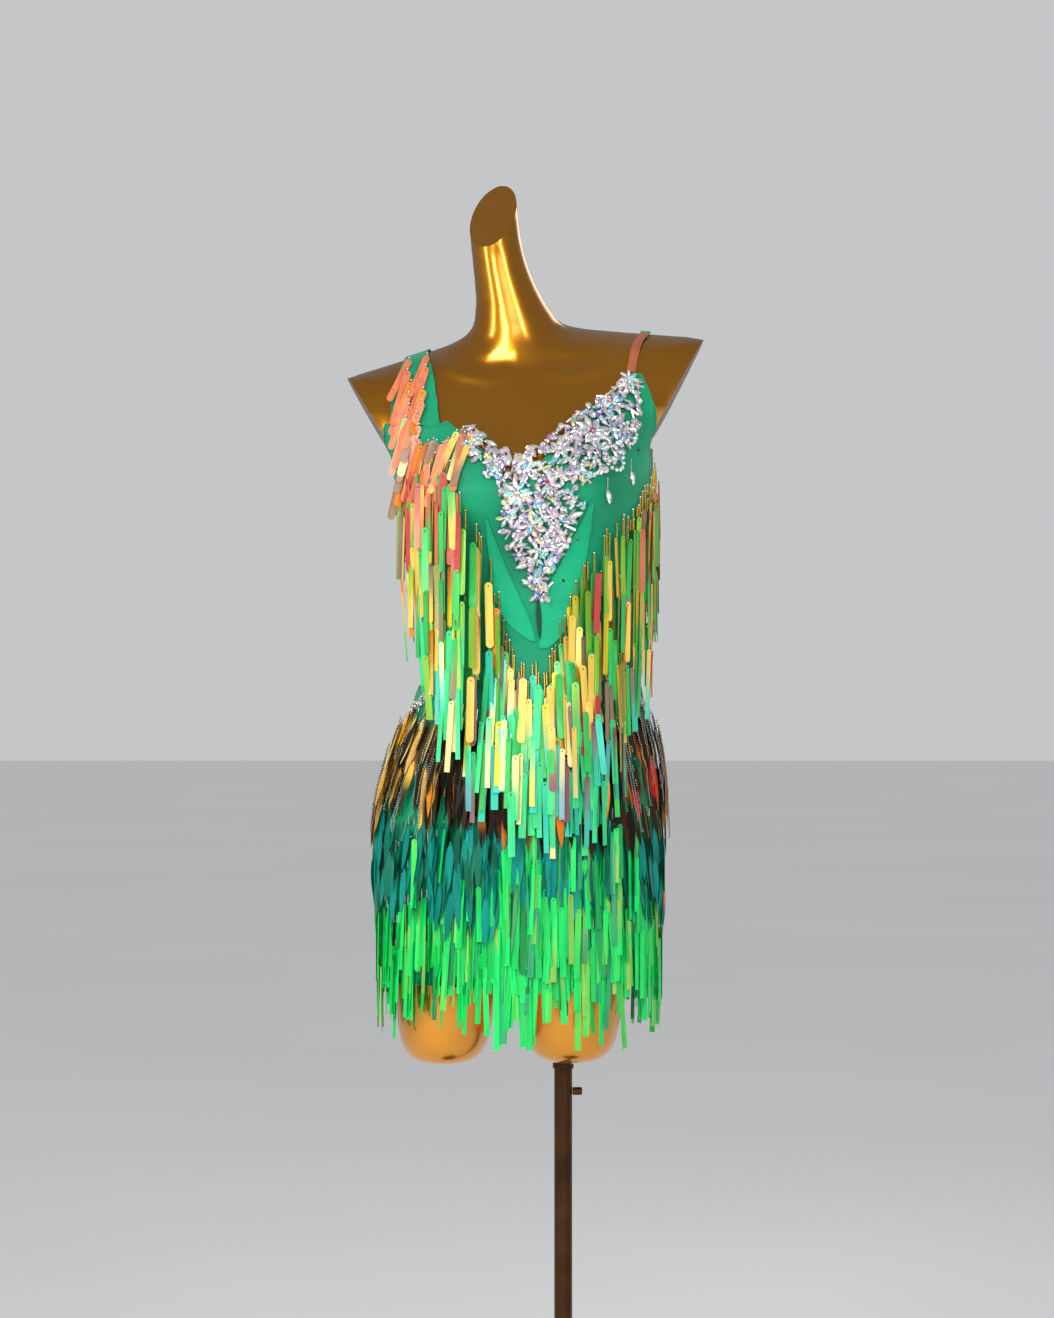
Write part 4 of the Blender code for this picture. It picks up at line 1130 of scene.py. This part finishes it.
def hip_strings(drum, builder, side, count):
    """Strings of tiny silver beads that fan down and outwards over a hip."""
    for k in range(count):
        angle = side * lerp(34, 88, k / (count - 1)) + random.uniform(-2, 2)
        height = lerp(1.070, 1.046, k / (count - 1)) + random.uniform(-6, 6) * MM
        length = random.uniform(0.085, 0.150)
        tint = random.choice((SILVER_BEAD, SILVER_BEAD, GOLD_BEAD))
        for step in range(int(length / (2.5 * MM))):
            now = height - step * 2.5 * MM
            turned = angle + side * step * 0.26
            column = round(turned / drum.TURN) % drum.turns
            radius = min(
                drum.taken[column, drum.level(now)] + 1.2 * MM,
                drum.hang_radius(turned, height, now) + 12 * MM,
            )
            points, faces = DROP
            builder.add(
                [drum_point(turned, now, radius) + p * MM for p in points], faces, [tint] * len(points)
            )


MIDDLE_STRANDS = 80  # more strands on a tier's front, for each unit of its lean


def make_tier(drum, name, slot, material, tints, shapes, layers, bead_tints, most, leaning, strings=0):
    """A tier of the skirt, in layers: angle step, most drop of the anchor, most rise of the end."""
    fringe = Fringe(drum, most)
    lows, highs = edge_heights(NODES[name])
    for step, drop, rise in layers:
        angle = random.uniform(0, step)
        while angle < 360:
            anchor = height_at(highs, angle) - random.uniform(0, drop)
            if strings:
                anchor += 0.016 * abs(hip_lean(angle)) / 15
            low = height_at(lows, angle) + random.uniform(0, rise)
            beads = random.choice(bead_tints)
            leaf_strand(fringe, angle, anchor, low, tints, shapes, beads, leaning)
            angle += step * random.uniform(0.7, 1.3)
    for _ in range(round(MIDDLE_STRANDS * leaning)):
        angle = random.choice((-1, -1, 1)) * random.uniform(8, 48)
        anchor = height_at(highs, angle) - random.uniform(0, 0.05)
        low = height_at(lows, angle) + random.uniform(0, 0.03)
        leaf_strand(fringe, angle, anchor, low, tints, shapes, bead_tints[0], leaning * 0.3)
    if strings:
        hip_strings(drum, fringe.beads, -1, strings)
        hip_strings(drum, fringe.beads, 1, strings)
    fringe.make(name, material, slot, name)


def make_upper_neon(drum):
    """Bright strips that start higher and hang over the teal leaves, most of them in front."""
    fringe = Fringe(drum, 10.0 * MM)
    for _ in range(110):
        angle = random.gauss(14, 24) if random.random() < 0.7 else random.uniform(0, 360)
        height = random.uniform(0.86, 0.955)
        low = height - 0.12
        leaf_strand(fringe, angle, height, low, NEON_TINTS, (NEON, NEON_SHORT), GREEN_BEAD, 0.1)
    fringe.make("upper_neon", "neon", "neon_sequin")


# ---- crystals -------------------------------------------------------------------------------
STONE_TINTS = (
    (srgb(240, 237, 241), 12),
    (srgb(208, 200, 214), 7),
    (srgb(230, 206, 218), 4),
    (srgb(198, 176, 214), 2.5),
    (srgb(250, 240, 170), 2),
    (srgb(150, 214, 240), 2),
    (srgb(170, 240, 214), 1),
    (srgb(120, 120, 200), 0.6),
)
# painted glints: coloured fire and a white highlight, which a few facets take instead of the stone's tint
PAINTED_GLINTS = (
    srgb(250, 220, 60),
    srgb(60, 170, 250),
    srgb(90, 240, 220),
    srgb(240, 110, 190),
    srgb(150, 90, 230),
    srgb(255, 255, 255),
)


def cut_stone_shape(sides=8):
    """A cut stone with a flat table, of unit radius and height, on its girdle."""
    points, faces = [Vector((0, 0, 0))], []  # the first point is the place it is glued at
    for ring, (radius, height, shift) in enumerate(((1.0, 0.25, 0), (0.78, 0.72, 0.5), (0.45, 1.0, 0))):
        points += [Vector((x, y, height)) for x, y in circle(radius, sides, shift)]
    for k in range(sides):
        n = (k + 1) % sides
        low, mid, high = 1, 1 + sides, 1 + 2 * sides
        faces += [
            (low + k, low + n, mid + k),
            (low + n, mid + n, mid + k),
            (mid + k, mid + n, high + n),
            (mid + k, high + n, high + k),
        ]
    faces.append(tuple(range(1 + 2 * sides, 1 + 3 * sides)))
    return points, faces


STONE = cut_stone_shape()


def add_stone(builder, place, normal, along, length, width, height, tint):
    """A cut stone flat on the cloth, its length along the given direction."""
    normal = normal.normalized()
    side = (along - normal * along.dot(normal)).normalized()
    other = normal.cross(side)
    points, faces = STONE
    pointed = length > 1.5 * width
    placed = []
    for p in points:
        narrow = (1 - 0.55 * p.x * p.x) if pointed else 1.0
        placed.append(
            place + side * p.x * length / 2 + other * p.y * narrow * width / 2 + normal * p.z * height
        )
    builder.add_facets(placed, faces, [facet_tint_or_glint(tint) for _ in faces])


def facet_tint_or_glint(tint):
    """Most facets keep the stone's tint, varied a little, and a few are painted glints: coloured fire or
    a white highlight.
    """
    if random.random() < 0.10:
        return random.choice(PAINTED_GLINTS)
    return varied(tint, 0.35)


def scatter(node, spacing, outward, rng):
    """Places on the outer side of a CAD relief, no closer to each other than the spacing."""
    triangles = []
    for poly in node.data.polygons:
        if poly.normal.dot(outward(poly.center)) > 0.2:
            corners = [node.data.vertices[i].co for i in poly.vertices]
            triangles.append((poly.area, corners, poly.normal.copy()))
    total = sum(t[0] for t in triangles)
    tries = int(total / spacing**2 * 9)
    chosen, grid = [], {}
    for _ in range(tries):
        _, corners, normal = rng.choices(triangles, [t[0] for t in triangles])[0]
        a, b = rng.random(), rng.random()
        if a + b > 1:
            a, b = 1 - a, 1 - b
        place = corners[0] + (corners[1] - corners[0]) * a + (corners[2] - corners[0]) * b
        key = tuple(int(c // spacing) for c in place)
        near = [
            p
            for dx in (-1, 0, 1)
            for dy in (-1, 0, 1)
            for dz in (-1, 0, 1)
            for p in grid.get((key[0] + dx, key[1] + dy, key[2] + dz), ())
        ]
        if all((place - p).length > spacing for p in near):
            grid.setdefault(key, []).append(place)
            chosen.append((place, normal))
    return chosen


def on_cloth(drum, place, away):
    near, normal, _, _ = drum.tree.find_nearest(place)
    return near + normal * away, normal


def glued_on(drum, place, away):
    """A place on the cloth, its outward direction and two directions along the cloth."""
    centre, normal = on_cloth(drum, place, away)
    side = normal.orthogonal().normalized()
    return centre, normal, side, normal.cross(side)


def add_flower(builder, drum, place, radius, petals, middle):
    """Pointed stones round a round one."""
    centre, normal, side, other = glued_on(drum, place, 8.0 * MM)
    for k in range(petals):
        turn = math.tau * (k + 0.3) / petals
        along = side * math.cos(turn) + other * math.sin(turn)
        spot = centre + along * radius * 0.58 - normal * 0.8 * MM
        tint = varied(weighted(STONE_TINTS), 0.1)
        add_stone(builder, spot, normal, along, radius * 0.95, radius * 0.42, 3.6 * MM, tint)
    add_stone(builder, centre + normal * 1.0 * MM, normal, side, 6 * MM, 6 * MM, 3.5 * MM, middle)


def add_stone_ring(builder, drum, place, radius, count, tint):
    centre, _, side, other = glued_on(drum, place, 6.0 * MM)
    for k in range(count):
        turn = math.tau * k / count
        along = side * math.cos(turn) + other * math.sin(turn)
        spot, up = on_cloth(drum, centre + along * radius, 10 * MM)
        add_stone(builder, spot, up, side, 4.4 * MM, 4.4 * MM, 3.2 * MM, varied(tint, 0.2))


# the applique's main line: across from the middle line, height, half width; it runs from the left of
# the neckline down to the middle of the neck, up along the right edge to the thin strap
GARLAND = (
    (-0.064, 1.341, 0.006),
    (-0.052, 1.325, 0.012),
    (-0.034, 1.306, 0.017),
    (-0.018, 1.290, 0.022),
    (-0.004, 1.283, 0.026),
    (0.019, 1.296, 0.029),
    (0.050, 1.314, 0.031),
    (0.076, 1.337, 0.030),
    (0.094, 1.363, 0.022),
    (0.105, 1.384, 0.013),
    (0.104, 1.396, 0.008),
)
# and the drop below it, down to its lowest stone
PENDANT = (
    (0.012, 1.275, 0.046),
    (0.010, 1.254, 0.038),
    (0.008, 1.228, 0.031),
    (0.009, 1.207, 0.021),
    (0.013, 1.186, 0.014),
    (0.014, 1.167, 0.007),
)
ROSE = srgb(214, 60, 110)
CLEAR = srgb(240, 240, 244)
# flowers: across from the middle line, height, radius in millimetres, petals, tint of the middle
FLOWERS = (
    (0.064, 1.336, 18, 8, ROSE),
    (0.104, 1.393, 11, 7, CLEAR),
    (0.088, 1.366, 14, 7, CLEAR),
    (0.036, 1.316, 14, 7, CLEAR),
    (-0.034, 1.304, 13, 7, CLEAR),
    (-0.052, 1.325, 10, 6, CLEAR),
    (-0.012, 1.276, 15, 8, CLEAR),
    (0.024, 1.284, 14, 7, ROSE),
    (0.050, 1.292, 13, 6, CLEAR),
    (0.004, 1.246, 15, 7, CLEAR),
    (-0.022, 1.254, 11, 6, CLEAR),
    (0.028, 1.256, 12, 6, CLEAR),
    (0.012, 1.220, 12, 6, CLEAR),
    (-0.008, 1.216, 9, 6, CLEAR),
    (0.013, 1.190, 10, 6, CLEAR),
)
# rings of round stones: across, height, radius in millimetres
STONE_RINGS = ((0.082, 1.308, 13), (0.096, 1.338, 12), (0.062, 1.298, 9), (0.040, 1.270, 9))
# black stones and hanging drops: across, height
JETS = ((0.112, 1.322), (0.051, 1.252), (0.050, 1.232), (0.036, 1.188), (0.116, 1.340))
DROPS = ((0.102, 1.312), (0.078, 1.290))


def front_place(drum, across, height):
    return drum.tree.ray_cast(Vector((BODY_X + across, -1, height)), Vector((0, 1, 0)))[0]


def along_garland(line, rng, spacing):
    """Places scattered over a line of (across, height, half width), as (across, height)."""
    found = []
    for (a, low, wide), (b, high, wide_b) in zip(line, line[1:]):
        length = math.hypot(b - a, high - low)
        count = max(1, round(length * (wide + wide_b) / spacing**2))
        normal = (-(high - low) / length, (b - a) / length)
        for _ in range(count):
            share = rng.random()
            off = rng.uniform(-1, 1) * lerp(wide, wide_b, share)
            across = lerp(a, b, share) + normal[0] * off
            found.append((across, lerp(low, high, share) + normal[1] * off))
    return found


def glue_stone(builder, drum, across, height, away, rng):
    """One stone of a random kind: round, pointed or a tube."""
    start = front_place(drum, across, height)
    if start is None:
        return
    spot, normal = on_cloth(drum, start, away)
    normal = (normal + Vector([rng.gauss(0, 0.25) for _ in range(3)])).normalized()
    along = Vector((rng.gauss(0, 1), rng.gauss(0, 0.3), rng.gauss(0, 1)))
    tint = weighted(STONE_TINTS)
    kind = rng.random()
    if kind < 0.38:
        size = rng.uniform(4.6, 8.2) * MM
        add_stone(builder, spot, normal, along, size, size, size * 0.55, tint)
    elif kind < 0.80:
        length = rng.uniform(10, 17) * MM
        add_stone(builder, spot, normal, along, length, length * 0.42, 3.6 * MM, tint)
    else:
        across_it = (along - normal * along.dot(normal)).normalized() * rng.uniform(5, 8) * MM
        add_tube(builder, spot - across_it, spot + across_it + normal * 1.4 * MM, 1.3 * MM, tint)


def add_jet(builder, drum, across, height):
    """A small black stone on the cloth beside the applique."""
    spot, normal = on_cloth(drum, front_place(drum, across, height), 3.8 * MM)
    add_stone(builder, spot, normal, Vector((1, 0, 0.2)), 4 * MM, 4 * MM, 1.6 * MM, srgb(18, 24, 22))


def add_drop(builder, drum, across, height):
    """A clear teardrop that hangs from a short thread above a strand."""
    start = front_place(drum, across, height)
    top, normal = on_cloth(drum, start, 6.0 * MM)
    add_tube(builder, top, top + Vector((0, 0, -12 * MM)), 0.5 * MM, SILVER_BEAD)
    centre = top + Vector((0, -1.0 * MM, -20 * MM))
    add_stone(builder, centre, normal, Vector((0, 0, 1)), 16 * MM, 6.5 * MM, 4 * MM, CLEAR)


def make_applique(drum):
    """The neckline's stones: three layers of loose ones, with flowers and rings of stones on them."""
    builder = Builder()
    rng = random.Random(11)
    for spacing, away in ((6.2 * MM, 4.0 * MM), (9.0 * MM, 6.2 * MM), (14.0 * MM, 8.0 * MM)):
        for across, height in along_garland(GARLAND, rng, spacing) + along_garland(PENDANT, rng, spacing):
            glue_stone(builder, drum, across, height, away + rng.uniform(-0.5, 1.0) * MM, rng)
    for across, height, radius, petals, middle in FLOWERS:
        add_flower(builder, drum, front_place(drum, across, height), radius * MM, petals, middle)
    for across, height, radius in STONE_RINGS:
        add_stone_ring(builder, drum, front_place(drum, across, height), radius * MM, 14, CLEAR)
    for across, height in JETS:
        add_jet(builder, drum, across, height)
    for across, height in DROPS:
        add_drop(builder, drum, across, height)
    piece = builder.make("applique_stones", MATERIALS["stone"], "crystal")
    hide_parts("crystal_applique")


def on_drum(drum, place, away):
    """This place, moved to lie on the cloth that hangs there."""
    angle = math.degrees(math.atan2(place.x - BODY_X, -place.y))
    column = round(angle / drum.TURN) % drum.turns
    return drum_point(angle, place.z, drum.base[column, drum.level(place.z)] + away)


def make_hip_trims(drum):
    rng = random.Random(5)
    for node in ("hip_trim_left", "hip_trim_right"):
        builder = Builder()
        for place, normal in scatter(NODES[node], 3.0 * MM, drum_outward, rng):
            size = rng.uniform(2.6, 4.2) * MM
            along = Vector((rng.gauss(0, 1), rng.gauss(0, 1), rng.gauss(0, 1)))
            spot = on_drum(drum, place, 1.2 * MM)
            add_stone(builder, spot, normal, along, size, size, size * 0.7, weighted(STONE_TINTS))
        piece = builder.make(node + "_stones", MATERIALS["stone"], "crystal")
        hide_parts(node)


# ---- strap fringe -----------------------------------------------------------------------------
STRAP_TINTS = ((PEACH, 12), (ORANGE, 3), (TAUPE, 2), (CREAM, 1), (RED, 1.5), (GREEN, 1), (YELLOW, 1.5))


def surface_y(drum, spot, other):
    """Where the form's front is behind this place, or the other value beside the form."""
    hit = drum.tree.ray_cast(Vector((spot.x, -1, spot.z)), Vector((0, 1, 0)))[0]
    return hit.y if hit else other


def slope_below(drum, top, slant, length):
    """Where a strip laid from top down the chest along the slant comes to an end."""
    last = top
    for step in range(1, 60):
        spot = top + slant * (step * 2 * MM)
        found = Vector((spot.x, min(surface_y(drum, spot, last.y), last.y + 0.2 * MM), spot.z))
        if (found - top).length >= length:
            return found
        last = found
    return last


def slanting_strip(drum, strips, beads, across, height, lift, lean):
    """A strip on the chest whose top is at this place, held just off the form under it."""
    shape = PADDLE_NARROW if random.random() < 0.5 else PADDLE
    start = front_place(drum, across, height)
    if start is None:
        return
    slant = Vector((math.sin(math.radians(lean)), 0, -math.cos(math.radians(lean))))
    foot = slope_below(drum, start, slant, shape_size(shape)[1])
    along = [start.lerp(foot, k / 8) for k in range(9)]
    proud = max(spot.y - surface_y(drum, spot, spot.y) for spot in along)
    shift = Vector((0, -proud - lift, 0.3 * lift))
    tints = [varied(weighted(STRAP_TINTS)), varied(weighted(STRAP_TINTS))]
    facing = Vector((0.1, -1, 0.5))
    add_strip(strips, shape, start + shift, foot + shift, facing, (random.gauss(0, 8),) * 2, tints)
    add_bead(beads, start + shift + Vector((0, -1.0 * MM, 3.2 * MM)), 1.1 * MM, SILVER_BEAD)


def make_strap_fringe(drum):
    """Slanting strips on the wide strap and the upper left of the chest."""
    strips, beads = Builder(), Builder()
    for row in range(9):
        height = 1.422 - row * 0.0128
        for column in range(2):
            across = lerp(-0.108, -0.120, column) - row * 0.3 * MM + random.uniform(-4, 4) * MM
            lift = (8.0 - 0.3 * row - 0.5 * column) * MM
            lean = random.gauss(-17 + 0.6 * row, 4)
            slanting_strip(drum, strips, beads, across, height - column * 4 * MM, lift, lean)
    for k in range(12):
        across = lerp(-0.056, -0.112, k / 11) + random.uniform(-2, 2) * MM
        height = lerp(1.338, 1.322, k / 11) + random.uniform(-6, 6) * MM
        lift = random.uniform(5.5, 8) * MM
        slanting_strip(drum, strips, beads, across, height, lift, random.gauss(-15, 4))
    piece = strips.make("strap_strips", MATERIALS["film"], "strips")
    beads.make("strap_beads", MATERIALS["bead"], "strips", smooth=True)
    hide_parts("fringe_strap")


# ---- stage ----------------------------------------------------------------------------------
# name, place, width, height, power, colour
LIGHTS = (
    ("key", (-1.25, -2.5, 2.3), 0.6, 1.9, 42, (1.0, 0.97, 0.92)),
    ("strip_right", (1.1, -2.7, 1.9), 0.35, 1.8, 22, (1.0, 0.98, 0.95)),
    ("strip_left", (-2.2, -1.2, 1.6), 0.3, 1.6, 14, (1.0, 0.98, 0.95)),
    ("front", (0.1, -3.6, 2.2), 1.4, 1.0, 14, (1.0, 1.0, 1.0)),
    ("back", (1.3, 2.4, 2.3), 1.2, 1.2, 8, (1.0, 1.0, 1.0)),
)


def make_world(scene):
    """A pale backdrop, which polished surfaces see dimmer."""
    world = bpy.data.worlds.new("studio")
    scene.world = world
    world.use_nodes = True
    tree = world.node_tree
    seen = tree.nodes["Background"]
    seen.inputs["Color"].default_value = (0.80, 0.81, 0.82, 1)
    seen.inputs["Strength"].default_value = 0.70
    soft = tree.nodes.new("ShaderNodeBackground")
    soft.inputs["Color"].default_value = (0.86, 0.88, 0.90, 1)
    soft.inputs["Strength"].default_value = 0.22
    rays = tree.nodes.new("ShaderNodeLightPath")
    choose = tree.nodes.new("ShaderNodeMixShader")
    tree.links.new(rays.outputs["Is Glossy Ray"], choose.inputs["Fac"])
    tree.links.new(seen.outputs["Background"], choose.inputs[1])
    tree.links.new(soft.outputs["Background"], choose.inputs[2])
    tree.links.new(choose.outputs["Shader"], tree.nodes["World Output"].inputs["Surface"])


FLOOR_HALF = 30  # half its side, in metres
LIGHTS_AIM = Vector((BODY_X, 0, 1.15))


def make_floor(scene):
    mesh = bpy.data.meshes.new("floor")
    corners = [(FLOOR_HALF * x, FLOOR_HALF * y, 0) for x, y in ((-1, -1), (1, -1), (1, 1), (-1, 1))]
    mesh.from_pydata(corners, [], [(0, 1, 2, 3)])
    floor = bpy.data.objects.new("floor", mesh)
    scene.collection.objects.link(floor)
    mesh.materials.append(pale_floor())


def make_lights(scene):
    for name, place, wide, tall, power, tint in LIGHTS:
        light = bpy.data.lights.new(name, "AREA")
        light.shape = "RECTANGLE"
        light.size, light.size_y = wide, tall
        light.energy = power
        light.color = tint
        obj = bpy.data.objects.new(name, light)
        obj.location = place
        obj.rotation_euler = (LIGHTS_AIM - Vector(place)).to_track_quat("-Z", "Y").to_euler()
        scene.collection.objects.link(obj)


def make_camera(scene):
    camera = bpy.data.cameras.new("camera")
    camera.sensor_width = 36
    camera.lens = camera.sensor_width * CAMERA_DISTANCE / CAMERA_SEES
    obj = bpy.data.objects.new("camera", camera)
    obj.location = (BODY_X, -CAMERA_DISTANCE, CAMERA_HEIGHT)
    obj.rotation_euler = (math.pi / 2, 0, 0)
    scene.collection.objects.link(obj)
    scene.camera = obj


def main():
    scene = bpy.context.scene
    make_floor(scene)
    make_world(scene)
    make_lights(scene)
    make_camera(scene)
    scene.view_settings.view_transform = "Standard"
    form = make_form()
    make_stand()
    drum = Drum(form)
    make_cloths(drum)
    make_keyhole(drum)
    make_applique(drum)
    make_hip_trims(drum)
    make_tier(
        drum,
        "tier_green",
        "neon_sequin",
        "neon",
        NEON_TINTS,
        (NEON, NEON, NEON_SHORT),
        ((2.6, 0.03, 0.05), (2.8, 0.05, 0.035), (3.0, 0.06, 0.02)),
        (GREEN_BEAD, SILVER_BEAD),
        5.0 * MM,
        0.2,
    )
    make_tier(
        drum,
        "tier_teal",
        "teal_sequin",
        "leaf",
        TEAL_TINTS,
        (LEAF, LEAF_NARROW),
        ((3.0, 0.03, 0.03), (3.0, 0.05, 0.03)),
        (GREEN_BEAD, SILVER_BEAD),
        9.0 * MM,
        0.6,
    )
    make_upper_neon(drum)
    make_tier(
        drum,
        "tier_bronze",
        "bronze_sequin",
        "leaf",
        BRONZE_TINTS,
        (LEAF, LEAF_NARROW),
        ((3.0, 0.02, 0.04), (3.2, 0.03, 0.04)),
        (GOLD_BEAD, SILVER_BEAD),
        13.0 * MM,
        1.0,
        strings=18,
    )
    make_bodice_fringe(
        drum,
        "fringe_front",
        ((3.0, 0.0, 0.02, 0.0, 0.05), (3.2, 0.0, 0.05, -0.005, 0.03), (3.6, 0.01, 0.08, -0.01, 0.02)),
    )
    make_bodice_fringe(
        drum, "fringe_back", ((3.2, 0.0, 0.02, 0.0, 0.04), (3.4, 0.01, 0.06, -0.01, 0.02))
    )
    make_strap_fringe(drum)


main()
